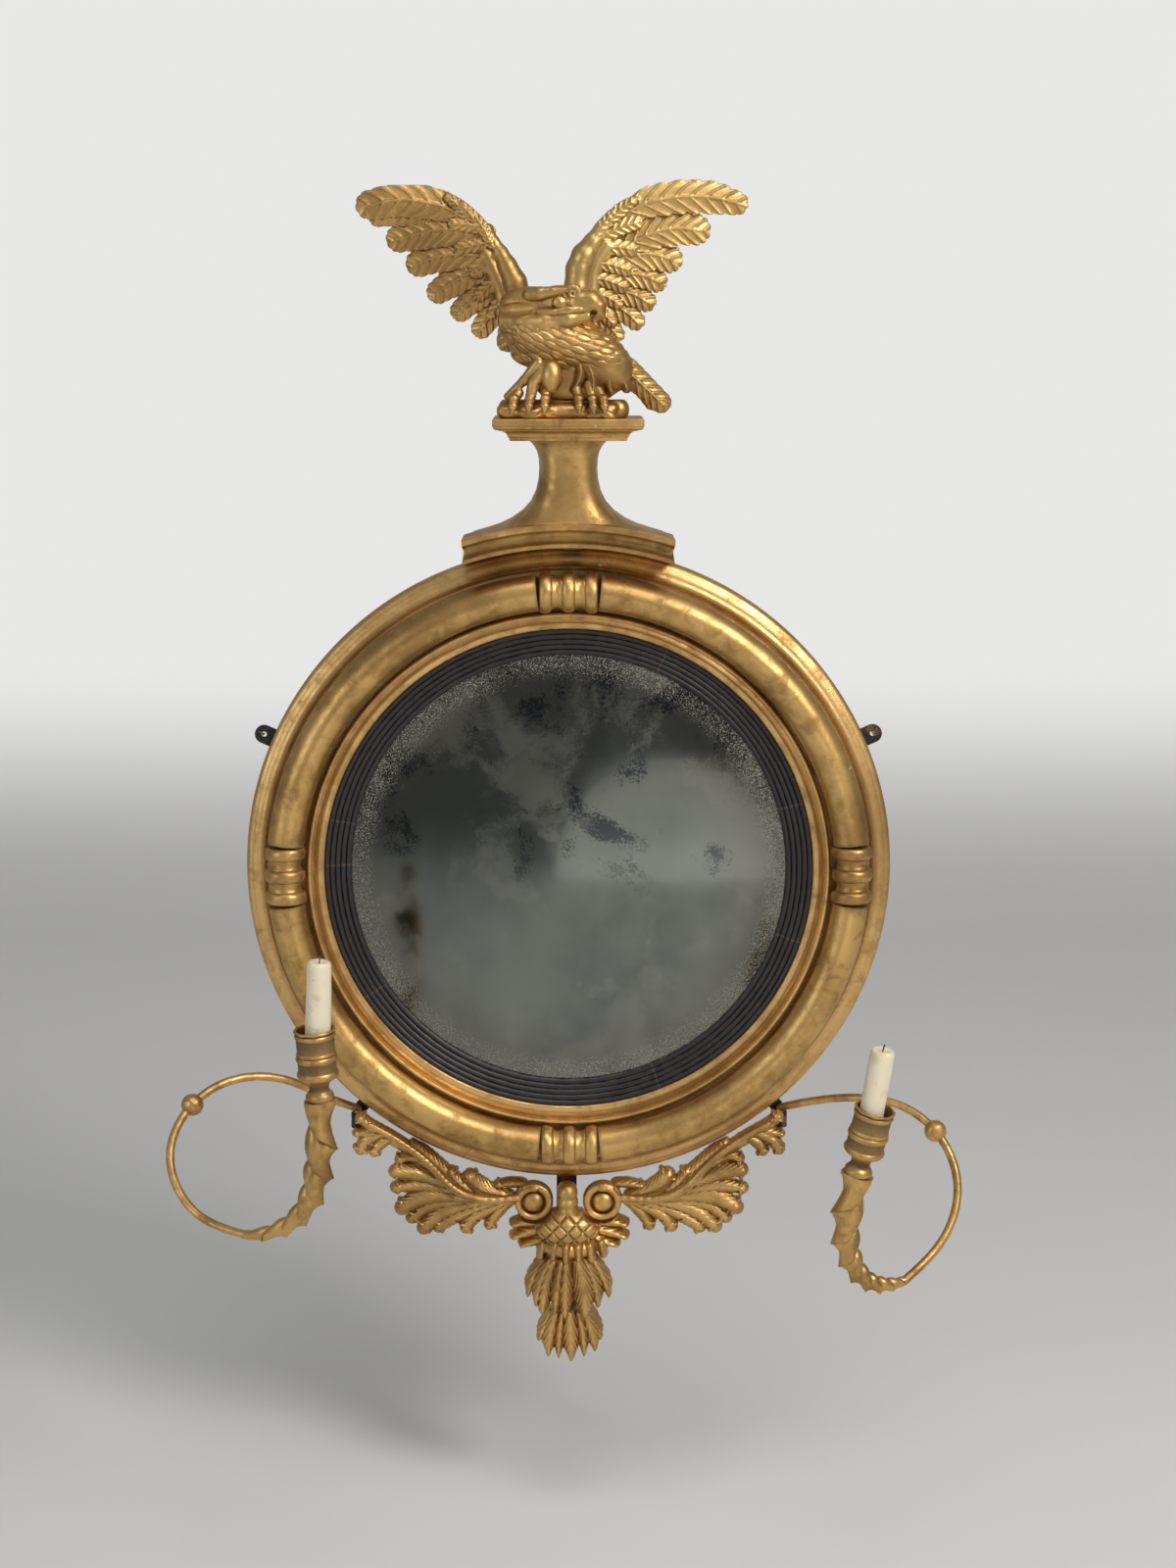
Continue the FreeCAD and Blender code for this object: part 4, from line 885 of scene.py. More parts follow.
def old_mirror_painted_reflection(name):
    """Silvering seen through glass: clouded, with dark blots, pale specks and a browned edge; its dark
    grey-green is partly aged silver and partly a painted reflection of a dark room, and its darkening towards
    the top is painted reflection.
    """
    material, tree, shader = material_of(name)
    place = object_place(tree)
    parts = node(tree, "ShaderNodeSeparateXYZ", {0: place}).outputs
    flat = node(tree, "ShaderNodeCombineXYZ", {"X": parts["X"], "Z": parts["Z"]}).outputs[0]
    radius = node(tree, "ShaderNodeVectorMath", {0: flat}, operation="LENGTH").outputs["Value"]
    rim = spread(tree, radius, 0.125, 0.215)
    cloud = spread(tree, noise(tree, flat, 7.0, 5.0, 0.6), 0.35, 0.68)
    up = spread(tree, parts["Z"], -0.20, 0.16)
    dark = group(tree, "blots", Scale=13.0, Fine_Scale=520.0, Amount=0.47, Shift=(0.31, 0.0, 0.12))
    dark_here = maths(tree, "MULTIPLY", dark["Mask"], spread(tree, parts["Z"], -0.06, 0.06))
    pale = group(tree, "blots", Scale=9.0, Fine_Scale=900.0, Amount=0.50, Shift=(1.3, 0.0, 0.7))
    rim_noise = maths(tree, "MULTIPLY_ADD", pale["Fine"], 0.5, rim)
    specks = maths(tree, "MULTIPLY", spread(tree, rim_noise, 0.85, 1.15),
                   spread(tree, pale["Fine"], 0.50, 0.62))
    pale_all = maths(tree, "ADD", maths(tree, "MULTIPLY", specks, 0.85),
                     maths(tree, "MULTIPLY", pale["Mask"], 0.22))
    # painted reflection: the silvering is dark grey-green, partly from age and partly standing in for a dark
    # room reflected in it
    colour = blend_colours(tree, cloud, (0.135, 0.15, 0.135, 1), (0.215, 0.23, 0.205, 1))
    # painted reflection: darker towards the top, standing in for the darker room reflected from above
    colour = blend_colours(tree, maths(tree, "MULTIPLY", up, 0.75), colour, (0.060, 0.066, 0.058, 1))
    colour = blend_colours(tree, maths(tree, "MULTIPLY", rim, 0.45), colour, (0.095, 0.075, 0.050, 1))
    colour = blend_colours(tree, dark_here, colour, (0.018, 0.023, 0.028, 1))
    colour = blend_colours(tree, pale_all, colour, (0.30, 0.29, 0.24, 1))
    metal = node(tree, "ShaderNodeMapRange", {"Value": pale_all, "To Min": 1.0, "To Max": 0.35}).outputs[0]
    rough = maths(tree, "MULTIPLY_ADD", pale_all, 0.45, spread(tree, cloud, 0.0, 1.0, 0.10, 0.17))
    feed(tree, shader, Base_Color=colour, Metallic=metal, Roughness=rough, Coat_Weight=0.35,
         Coat_Roughness=0.03)
    return material


def pine(name, pale, brown, shift):
    material, tree, shader = material_of(name)
    grain = group(tree, "grain", Shift=shift)
    blots = group(tree, "blots", Scale=8.0, Fine_Scale=150.0, Amount=0.55, Shift=shift)
    colour = blend_colours(tree, grain["Bands"], (*pale, 1), (*brown, 1))
    colour = blend_colours(tree, maths(tree, "MULTIPLY", blots["Mask"], 0.5), colour, (0.05, 0.034, 0.022, 1))
    colour = blend_colours(tree, spread(tree, grain["Pores"], 0.58, 0.72, 0.0, 0.5), colour,
                           (0.06, 0.04, 0.025, 1))
    feed(tree, shader, Base_Color=colour, Roughness=spread(tree, grain["Pores"], 0.3, 0.7, 0.62, 0.82),
         Normal=bumped(tree, grain["Pores"], 0.35, 0.0006))
    return material


def rusted_iron(name, metal_colour=(0.035, 0.032, 0.031), rust=0.5):
    material, tree, shader = material_of(name)
    rusty = group(tree, "blots", Scale=70.0, Fine_Scale=600.0, Amount=rust, Shift=(0.4, 0.2, 0.9))
    colour = blend_colours(tree, rusty["Mask"], (*metal_colour, 1), (0.14, 0.058, 0.025, 1))
    feed(tree, shader, Base_Color=colour, Metallic=spread(tree, rusty["Mask"], 0.0, 1.0, 0.75, 0.1),
         Roughness=spread(tree, rusty["Fine"], 0.3, 0.7, 0.42, 0.78),
         Normal=bumped(tree, rusty["Fine"], 0.4, 0.0005))
    return material


def wax(name):
    material, tree, shader = material_of(name)
    blots = group(tree, "blots", Scale=60.0, Fine_Scale=260.0, Amount=0.42, Shift=(0.2, 0.6, 0.1))
    colour = blend_colours(tree, blots["Mask"], (0.80, 0.72, 0.54, 1), (0.70, 0.60, 0.40, 1))
    feed(tree, shader, Base_Color=colour, Roughness=spread(tree, blots["Fine"], 0.3, 0.7, 0.34, 0.52),
         Subsurface_Weight=0.25, Subsurface_Scale=0.004, Subsurface_Radius=(1.0, 0.7, 0.4),
         Normal=bumped(tree, blots["Fine"], 0.15, 0.0004))
    return material


def charred_cotton(name):
    material, tree, shader = material_of(name)
    blots = group(tree, "blots", Scale=400.0, Fine_Scale=2000.0, Amount=0.5)
    colour = blend_colours(tree, blots["Mask"], (0.05, 0.045, 0.04, 1), (0.30, 0.27, 0.22, 1))
    feed(tree, shader, Base_Color=colour, Roughness=0.9, Normal=bumped(tree, blots["Fine"], 0.5, 0.0003))
    return material


# each finish: its maker and the values that it takes; in the gilt ones the value after chips darkens the
# hollows, partly soiling and partly painted shade
FINISH_MAKERS = {
    "gilt_wood": (gilt, ("gold", "toned", 0.85, 0.5, 0.16, 0.6)),
    "gilt_moulding": (gilt, ("ochre_gold", "ochre", 0.9, 0.45, 0.14, 0.5)),
    "gilt_carving": (gilt, ("gold", "toned", 0.7, 0.45, 0.12, 0.85, 0.05)),
    # painted light: a brighter copy of the carving gilt for the right wing, the side that the light falls on
    "gilt_wing": (gilt, ("bright_gold", "toned", 0.5, 0.35, 0.16, 0.85, 0.05)),
    "gilt_wire": (gilt, ("gold", "toned", 0.9, 0.5, 0.10, 0.3, 0.06, 1.6)),
    "gilt_composition": (gilt, ("gold", "toned", 0.9, 0.6, 0.15, 1.0, 0.035)),
    "ebonised_wood": (black_reeds, ()),
    "aged_mirror": (old_mirror_painted_reflection, ()),
    "bare_pine": (pine, ((0.30, 0.19, 0.095), (0.16, 0.085, 0.038), (0.0, 0.0, 0.0))),
    "pine_plank_left": (pine, ((0.27, 0.17, 0.085), (0.15, 0.08, 0.037), (0.31, 0.02, 0.4))),
    "pine_plank_right": (pine, ((0.32, 0.205, 0.105), (0.175, 0.095, 0.045), (0.77, 0.05, 0.9))),
    "wrought_iron": (rusted_iron, ()),
    "old_wire": (rusted_iron, ((0.20, 0.155, 0.075), 0.4)),
    "candle_wax": (wax, ()),
    "candle_wick": (charred_cotton, ()),
}
FINISHES = {}


def shade_of(name):
    """Colour setting with its alpha."""
    return (*getattr(bpy.context.scene.girandole_finish, name), 1)


def finish(name):
    """The named material, made when it is first asked for."""
    if name not in FINISHES:
        maker, values = FINISH_MAKERS[name]
        FINISHES[name] = maker(name, *values)
    return FINISHES[name]


# ---------------------------------------------------------------- turned pieces

def glass_front(radius):
    return GLASS_VERTEX - (GLASS_BULGE_R - math.sqrt(GLASS_BULGE_R ** 2 - radius ** 2))


def make_ring():
    r = RING_R
    profile = [(REBATE_R, 0.0), (r - 0.6, 0.0), (r, 0.8), (r, 12.2)]
    profile += arc(r - 6.5, 13.0, 6.5, 0, 80, 9)
    profile += [(r - 6.6, 20.4), (r - 8.0, 20.9), (r - 9.2, 21.3)]
    profile += arc(r - 9.6, 29.5, 8.0, -85, -150, 8)[1:]
    profile += [(277.6, 24.6), (277.0, SEAT_DEPTH), (240.8, SEAT_DEPTH), (240.5, 24.6), (239.6, 34.4)]
    profile += arc(237.4, 33.6, 2.2, 30, 110, 5)
    profile += arc(238.0, 43.6, 8.4, 258, 222, 5)
    profile += [(LIP_R + 6.6, 32.4), (LIP_R + 6.2, 31.4), (LIP_R + 5.6, 29.0), (LIP_R + 4.6, 28.7),
                (LIP_R + 0.9, 28.5)]
    profile += [(LIP_R, 27.7), (LIP_R, REBATE_DEPTH), (REBATE_R, REBATE_DEPTH)]
    profile = [(radius, max(0.0, depth)) for radius, depth in profile]
    ring = moulding("turned_ring", profile, finish("gilt_moulding"), sharp=32, segments=480)
    return settle(ring, "frame", ["frame_ring"])


def make_torus():
    """The four quarters, as one quarter repeated round the wall axis."""
    middle = TORUS_CREST - TORUS_HALF
    foot = TORUS_HALF * math.cos(math.radians(20))
    seat = SEAT_DEPTH + SEAT_GAP
    profile = [(TORUS_R + foot - 3.2, seat), (TORUS_R + foot - 2.6, middle - 7.6)]
    profile += arc(TORUS_R, middle, TORUS_HALF, -22, 202, 40)
    profile += [(TORUS_R - foot + 2.6, middle - 7.6), (TORUS_R - foot + 3.2, seat)]
    reach = CLASP_PITCH + CLASP_BEAD / 2 + CLASP_END_GAP
    half = math.degrees(reach / TORUS_R)
    verts, faces = turned(profile, 110, half, 90 - half)
    torus = grown("torus_moulding", loose_mesh("quarter", verts, faces=faces), "copies", finish("gilt_wood"),
                  sharp=50,
                  Count=4, First_Angle=0.0)
    return settle(torus, "frame", ["torus_quarters"])


def make_clasps():
    """Three round beads with coves between them, strung along the torus line, repeated four times."""
    middle = TORUS_CREST - TORUS_HALF
    stations = []
    for bead in (-1, 0, 1):
        centre = bead * CLASP_PITCH
        edge = CLASP_BEAD / 2
        for u in np.linspace(-1, 1, 17):
            lift = math.sqrt(max(0.0, 1 - u ** 2)) ** 0.8
            stations.append((centre + u * edge, 15.4 + (CLASP_HALF - 15.4) * lift))
        if bead < 1:
            for u in np.linspace(0.08, 0.92, 9):
                dip = CLASP_COVE + 1.3 * (2 * u - 1) ** 2
                stations.append((centre + edge + u * (CLASP_PITCH - CLASP_BEAD), dip))
    seat = SEAT_DEPTH + SEAT_GAP
    angles = np.radians(np.linspace(-40, 220, 57))
    rings = []
    for along, radius in stations:
        x = np.full(len(angles), along)
        out = TORUS_R + radius * np.cos(angles)
        depth = np.maximum(middle + radius * np.sin(angles), seat)
        bend = along / TORUS_R
        rings.append(np.stack([x, -depth, out - 0.5 * along * bend], 1))
    verts, faces = capped(rings, rings[0].mean(0), rings[-1].mean(0))
    clasps = grown("clasps", loose_mesh("clasp", verts, faces=faces), "copies", finish("gilt_wood"), sharp=50,
                   Count=4, First_Angle=0.0)
    return settle(clasps, "frame", ["clasp_top", "clasp_right", "clasp_bottom", "clasp_left"])


def make_slip():
    neck = LIP_R - SEAT_GAP
    back = glass_front(SIGHT_R) + SEAT_GAP
    shelf = REBATE_DEPTH - SEAT_GAP
    outer = REBATE_R - SEAT_GAP
    profile = [(outer, back), (outer, shelf), (neck, shelf)]
    pitch = (neck - SIGHT_R) / REED_COUNT
    fall = (SLIP_TOP - SIGHT_DEPTH) / REED_COUNT
    for reed in range(REED_COUNT):
        centre = neck - pitch * (reed + 0.5)
        top = SLIP_TOP - fall * reed
        for u in np.linspace(-0.92, 0.92, 13):
            lift = math.sqrt(1 - u ** 2)
            profile.append((centre - u * pitch / 2, top - 2.1 * (1 - lift) - fall * 0.5 * u))
        profile.append((centre - pitch / 2, top - 2.3 - fall * 0.5))
    profile[-1] = (SIGHT_R + 0.1, max(back + 0.4, profile[-1][1]))
    profile.append((SIGHT_R, back))
    slip = moulding("reeded_black_slip", profile, finish("ebonised_wood"), sharp=40, radius=215, segments=480)
    return settle(slip, "frame", ["reeded_slip"])


def make_glass():
    """Convex plate: a spherical cap in front and behind, ground flat at its rim."""
    radii = np.concatenate([np.linspace(3, GLASS_R - 1, 90), [GLASS_R - 0.3, GLASS_R]])
    turns = np.linspace(0, 2 * math.pi, 256, endpoint=False)

    def ring(r, depth):
        return np.stack([r * np.sin(turns), np.full(256, -depth), r * np.cos(turns)], 1)

    rings = [ring(r, glass_front(r) - (0.5 if r > GLASS_R - 0.1 else 0)) for r in radii]
    rings += [ring(r, glass_front(r) - GLASS_THICKNESS) for r in radii[::-1]]
    verts, faces = capped(rings, (0, -glass_front(0), 0), (0, -(glass_front(0) - GLASS_THICKNESS), 0))
    glass = mesh_object("convex_glass", verts, faces, finish("aged_mirror"), sharp=40)
    return settle(glass, "frame", ["mirror_plate"])


# ---------------------------------------------------------------- pedestal

def box_rings(sections, corner):
    """Closed solid through level oblong sections (z, half width, back, front), its corners eased a little."""
    rings = []
    for z, half, back, front in sections:
        ease = min(corner, half / 3, (front - back) / 3)
        points = []
        for cx, cd, start in ((half - ease, front - ease, 0), (ease - half, front - ease, 90),
                              (ease - half, back + ease, 180), (half - ease, back + ease, 270)):
            for a in np.radians(np.linspace(start, start + 90, 5)):
                points.append((cx + ease * math.cos(a), -(cd + ease * math.sin(a)), z))
        rings.append(np.array(points))
    return capped(rings, rings[0].mean(0), rings[-1].mean(0))


def make_slab():
    low, high = SLAB_LOW, SLAB_HIGH
    half, front, back = high[0], high[1], low[1]
    h = high[2] - low[2]
    foot = half - 15.0
    out = [(0.0, 0.0), (0.04, 0.4), (0.12, 0.6), (0.15, 0.6), (0.16, 1.8)]
    out += [(0.16 + 0.30 * math.sin(a), 1.8 + 7.4 * (1 - math.cos(a)))
            for a in np.linspace(0.1, math.pi / 2, 9)]
    out += [(0.49, 9.4), (0.50, 10.4)]
    out += [(0.50 + 0.12 * (1 - math.cos(a)), 10.4 + 4.0 * math.sin(a))
            for a in np.linspace(0.1, math.pi / 2, 6)]
    out += [(0.65, 14.5), (0.67, 15.0), (0.96, 15.0), (1.0, 14.4)]
    sections = [(low[2] + h * rise, foot + o, back, front - 15.0 + o) for rise, o in out]
    verts, faces = box_rings(sections, corner=0.9)
    slab = mesh_object("pedestal_top_slab", verts, faces, finish("gilt_wood"), sharp=28)
    return settle(slab, "frame", ["pedestal_slab"])


def make_neck():
    """Necked pedestal that spreads in a long curve on to the plinth and flares again under the slab."""
    top = NECK_HIGH[2]
    front = NECK_HIGH[1]
    back = NECK_LOW[1]
    widths = [(309, 87.5), (311, 84.5), (314, 74.0), (318, 61.5), (323, 51.0), (330, 41.0), (338, 33.8),
              (348, 29.0),
              (358, 26.8), (368, 26.1), (377, 26.6), (383, 28.0), (388, 30.6), (391, 33.2), (392.2, 34.4),
              (top, 34.4)]
    zs = np.array([w[0] for w in widths], float)
    halves = np.array([w[1] for w in widths], float)
    rings = []
    for z in np.concatenate([np.linspace(309, 330, 22), np.linspace(331, 388, 30),
                             np.linspace(388.6, top, 10)]):
        half = np.interp(z, zs, halves)
        face = front - 7.5 + 6.5 * max(0, (z - 380) / 14) ** 2 + 6.5 * max(0, (345 - z) / 36) ** 2
        points = []
        thick = face - back
        for a in np.linspace(0, math.pi, 33):
            c, s = math.cos(a), math.sin(a)
            x = half * math.copysign(abs(c) ** 0.55, c)
            d = back + thick * abs(s) ** 0.55
            level = max(z, math.sqrt(max(0.0, (RING_R + NECK_SEAT) ** 2 - x ** 2))) if z < 323 else z
            points.append((x, -d, level))
        rings.append(np.array(points))
    verts, faces = capped(rings, (0, -(front + back) / 2, rings[0][16][2]), rings[-1].mean(0))
    neck = mesh_object("pedestal_waisted_neck", verts, faces, finish("gilt_wood"), sharp=45)
    return settle(neck, "frame", ["pedestal_neck"])


def make_plinth():
    """Arched plinth: a bar bent round the top of the ring, hollowed at the front and scooped at both ends."""
    inner = RING_R + PLINTH_GAP
    half = PLINTH_HIGH[0]
    front = PLINTH_HIGH[1]
    back = PLINTH_LOW[1]
    outline = [(0.0, back), (0.0, front - 4.0)]
    outline += [(0.6, front - 3.0), (3.6, front - 3.0), (4.6, front - 4.4)]
    outline += [(4.8 + 5.8 * (1 - math.cos(a)), front - 5.0 - 5.6 * math.sin(a))
                for a in np.linspace(0.15, math.pi - 0.4, 10)]
    outline += [(15.6, front - 1.4), (16.4, front - 0.3), (17.4, front), (20.7, front), (21.5, front - 0.8),
                (21.5, back)]
    stations = 81
    rings = []
    for i in range(stations):
        u = 2 * i / (stations - 1) - 1
        ring = []
        for rise, depth in outline:
            r = inner + rise
            scoop = 5.6 * math.exp(-((rise - 9.0) / 4.4) ** 2)
            x = u * (half - scoop * (abs(u) ** 6))
            ring.append((x, -depth, math.sqrt(r * r - x * x)))
        rings.append(np.array(ring))
    verts, faces = capped(rings, rings[0].mean(0), rings[-1].mean(0))
    plinth = mesh_object("pedestal_arched_plinth", verts, faces, finish("gilt_wood"), sharp=32)
    return settle(plinth, "frame", ["pedestal_plinth"])


def make_rock():
    random = np.random.default_rng(7)
    low, high = ROCK_LOW, ROCK_HIGH
    block = Carving((low[0] - 3, low[1] - 3, low[2] - 1), (high[0] + 3, high[1] + 3, high[2] + 2), ROCK_STEP)
    middle = ((low[0] + high[0]) / 2, (low[1] + high[1]) / 2, (low[2] + high[2]) / 2)
    block.limb([(low[0] + 12, middle[1], middle[2] - 1), (high[0] - 12, middle[1], middle[2] - 1)],
               [11.5, 11.5])
    for _ in range(34):
        x = random.uniform(low[0] + 8, high[0] - 8)
        d = random.choice([low[1] + 9, middle[1], high[1] - 9]) + random.uniform(-2, 2)
        size = random.uniform(7, 11)
        block.ball((x, d, random.uniform(low[2] + 2, high[2] - 7)), (size, size * 0.9, size * 0.62),
                   turn=random.uniform(-30, 30), blend=2.0)
    block.limb([(-14, high[1] - 8, low[2] + 5.5), (12, high[1] - 8, low[2] + 5.5)], [7.4, 7.4], blend=1.0)
    block.box(low, high)
    rock = carved("rock_under_the_eagle", block, finish("gilt_carving"))
    return settle(rock, "frame", ["rock_base"])


# ---------------------------------------------------------------- eagle

FEATHERS_LEFT = [
    # line of (x, z) points, half widths, pitch of the barbs, how far forward of the back
    ([(-36, 504), (-40, 490), (-42, 481)], (6, 7, 7), 6.0, 0.0),
    ([(-44, 508), (-50, 494), (-54, 479.5)], (7, 8, 8), 6.0, 0.4),
    ([(-54, 518), (-65, 506), (-76, 491.5)], (7, 8.5, 8.3), 6.5, 0.8),
    ([(-62, 530), (-79, 519.5), (-94, 506.5)], (7, 9, 8.6), 6.5, 1.2),
    ([(-72, 543), (-90, 537), (-106, 528), (-113.5, 523)], (7, 9, 10, 9.4), 7.0, 1.6),
    ([(-70, 553), (-88, 554.5), (-114, 553), (-130, 547.5)], (7, 9, 11, 10.6), 8.0, 2.0),
    ([(-72, 572.5), (-81, 573.5), (-105, 576), (-128, 573.5), (-147, 568.5)], (7, 10, 11.3, 11.3, 10.6), 8.0,
     2.4),
    ([(-128, 590), (-150, 589), (-166, 586)], (8, 8, 6.8), 7.0, 1.4),
    ([(-90, 585), (-105, 594), (-130, 600), (-155, 600.5), (-172.5, 597)], (8, 13.5, 15.2, 14.4, 13), 10.0,
     3.0),
]

COVERTS_LEFT = [
    ([(-54, 524), (-61, 513), (-66, 505)], (5, 6.5, 5.5), 5.0, 3.8),
    ([(-60, 538), (-70, 527), (-77, 520)], (5.5, 7, 6), 5.0, 4.2),
    ([(-62, 556), (-72, 548), (-80, 541)], (6, 8.5, 7.4), 5.5, 5.6),
    ([(-66, 566), (-80, 563), (-94, 560)], (5, 7, 6), 5.5, 4.8),
    ([(-70, 576), (-86, 580), (-99, 581)], (5, 7, 6), 5.5, 5.2),
    ([(-88, 588), (-97, 598), (-104, 603)], (4, 6, 4.4), 4.6, 5.4),
    ([(-76, 576), (-85, 589), (-93, 597)], (4, 6, 4.4), 4.6, 6.0),
    ([(-66, 562), (-73, 576), (-80, 586)], (4, 6, 4.4), 4.6, 6.6),
]

SHOULDER_LEFT = [
    (-98, 34, 599, 2.4), (-84, 34, 588.5, 2.8), (-72, 34.5, 576, 3.6), (-65, 35, 566, 4.8),
    (-59, 35, 556, 6.6),
    (-53.5, 35, 545, 8.8), (-47, 34.5, 531, 10.8), (-43, 34, 516, 11), (-40, 34, 503, 10), (-36, 34, 492, 8),
]

FEATHERS_RIGHT = [
    ([(24, 500), (34, 495), (42, 486)], (6, 7.2, 7.2), 6.0, 0.2),
    ([(28, 512), (44, 509), (55, 502), (59.5, 497.5)], (6, 8, 8.5, 7.5), 6.5, 0.6),
    ([(30, 522), (48, 523), (61, 519), (68.5, 514.5)], (6, 8, 8.7, 8.2), 6.5, 1.0),
    ([(34, 535), (54, 538.5), (68, 536), (77.5, 532)], (6, 8.5, 9.2, 8.8), 7.0, 1.4),
    ([(36, 548), (58, 554), (76, 554.5), (88.5, 551)], (7, 9.5, 11, 10.8), 8.0, 1.8),
    ([(44, 558), (66, 570), (92, 577), (111.5, 576)], (7, 10, 12, 11.8), 8.5, 2.2),
    ([(33, 566), (37.7, 576.3), (52, 590.3), (66.6, 598.1), (81, 601.6), (106.3, 604.3), (133.3, 602),
      (147.5, 598.5)],
     (4, 6, 10.5, 14.4, 15, 15.2, 14.4, 10.5), 10.5, 3.0),
]

COVERTS_RIGHT = [
    ([(18, 510), (30, 504), (38, 497)], (5, 6.5, 5.5), 5.0, 3.6),
    ([(20, 522), (33, 519), (43, 513)], (5, 6.8, 5.8), 5.0, 4.0),
    ([(22, 535), (36, 532), (48, 527)], (5, 7, 6), 5.0, 4.4),
    ([(24, 547), (38, 546), (51, 542)], (5, 7.5, 6.4), 5.5, 4.8),
    ([(27, 559), (42, 561), (56, 559)], (5, 7.5, 6.4), 5.5, 5.2),
    ([(31, 570), (46, 578), (60, 582)], (5, 7.5, 6.4), 5.5, 5.6),
    ([(35, 581), (46, 593), (56, 600)], (4, 6.5, 4.6), 5.0, 6.2),
    ([(24, 568), (31, 580), (38, 589)], (4, 6, 4.2), 5.0, 6.8),
]

SHOULDER_RIGHT = [
    (60, 34, 602, 2.4), (48, 34, 597, 2.8), (38, 34, 588, 4.0), (29, 34.5, 576.5, 6.0), (21.5, 35, 565, 8.2),
    (14, 34.5, 554, 10.8), (9.5, 34, 542, 11.5), (8, 34, 526, 11.5), (9, 34, 508, 10.5), (13, 34, 494, 8),
]

LEAF_VEIN = [(-50, -319), (-81, -319.5), (-99, -314), (-116, -301), (-130, -284.5), (-146, -270),
             (-166, -255.5), (-186, -244)]


def spline_flat(points):
    """Smooth line through (x, z) points."""
    return spline([(x, 0, z) for x, z in points], 4)[:, (0, 2)].tolist()


def make_wing(name, node_name, feathers, coverts, shoulder, side, seed):
    """Spread wing: long feathers with thin curling barbs, coverts over their roots, a bare shoulder."""
    random = np.random.default_rng(seed)
    low, high = corners(node_name)
    block = Carving((low[0] - 6, 26, low[2] - 4), (high[0] + 6, 48, high[2] + 5), WING_STEP)
    for spine, widths, pitch, ahead in feathers:
        deep = 0.16 if side > 0 else 0.09
        if ahead < 3.0:
            widths = [w * 1.36 for w in widths[:-1]] + [widths[-1] * 1.17]
        block.frond(spine, widths, 28.2 + ahead * 0.8, 6.0, crown=0.32, rib=1.3,
                    barb=1.35 if pitch > 7.5 else 1.1,
                    pitch=pitch * random.uniform(1.22, 1.34), notch=deep, tilt=-side * 0.13, curl=0.035,
                    lean=0.8)
    for spine, widths, pitch, ahead in coverts:
        block.frond(spine, widths, 28.4 + ahead, 5.2, crown=0.4, rib=1.0, barb=0.9,
                    pitch=pitch * random.uniform(1.15, 1.3),
                    notch=0.10, tilt=-side * 0.12, curl=0.03, lean=0.8)
    block.limb([p[:3] for p in shoulder], [p[3] for p in shoulder], blend=2.0)
    block.limb([(p[0] + side * 12, 31.5, p[2] - 3) for p in shoulder[4:-1]], [9.0] * len(shoulder[4:-1]))
    block.box((low[0] - 1.8, 28.0, low[2]), (high[0] + 1.8, 45.7, high[2] - 0.4))
    # painted light: the right wing takes the brighter gilt of the lit side, the left wing the plain carving
    # gilt
    wing = carved(name, block, finish("gilt_wing" if side > 0 else "gilt_carving"))
    return settle(wing, "frame", [node_name])


def lens_feathers(x, z, centre, reach, heading, long, wide, height):
    """Lens-shaped feathers in staggered rows; how far they lift the surface at each place."""
    c, s = math.cos(math.radians(heading)), math.sin(math.radians(heading))
    px, pz = x - centre[0], z - centre[1]
    bend = 0.0035 * px * px * np.sign(heading)
    u = (px * c + pz * s) / long
    v = (-px * s + (pz + bend) * c) / wide
    row = np.floor(v)
    u = u + 0.5 * (row % 2)
    fu, fv = u - np.floor(u) - 0.5, v - row - 0.5
    lens = np.clip(1 - np.abs(fv) * 2.0 - (fu * 1.75) ** 2, 0, 1) ** 0.45
    vein = np.exp(-((fv * wide) / 0.55) ** 2) * 0.45
    inside = np.clip((1.3 - np.sqrt((px / reach[0]) ** 2 + (pz / reach[1]) ** 2)) * 3.0, 0, 1)
    return (height * (lens - vein) * inside).astype(np.float32)


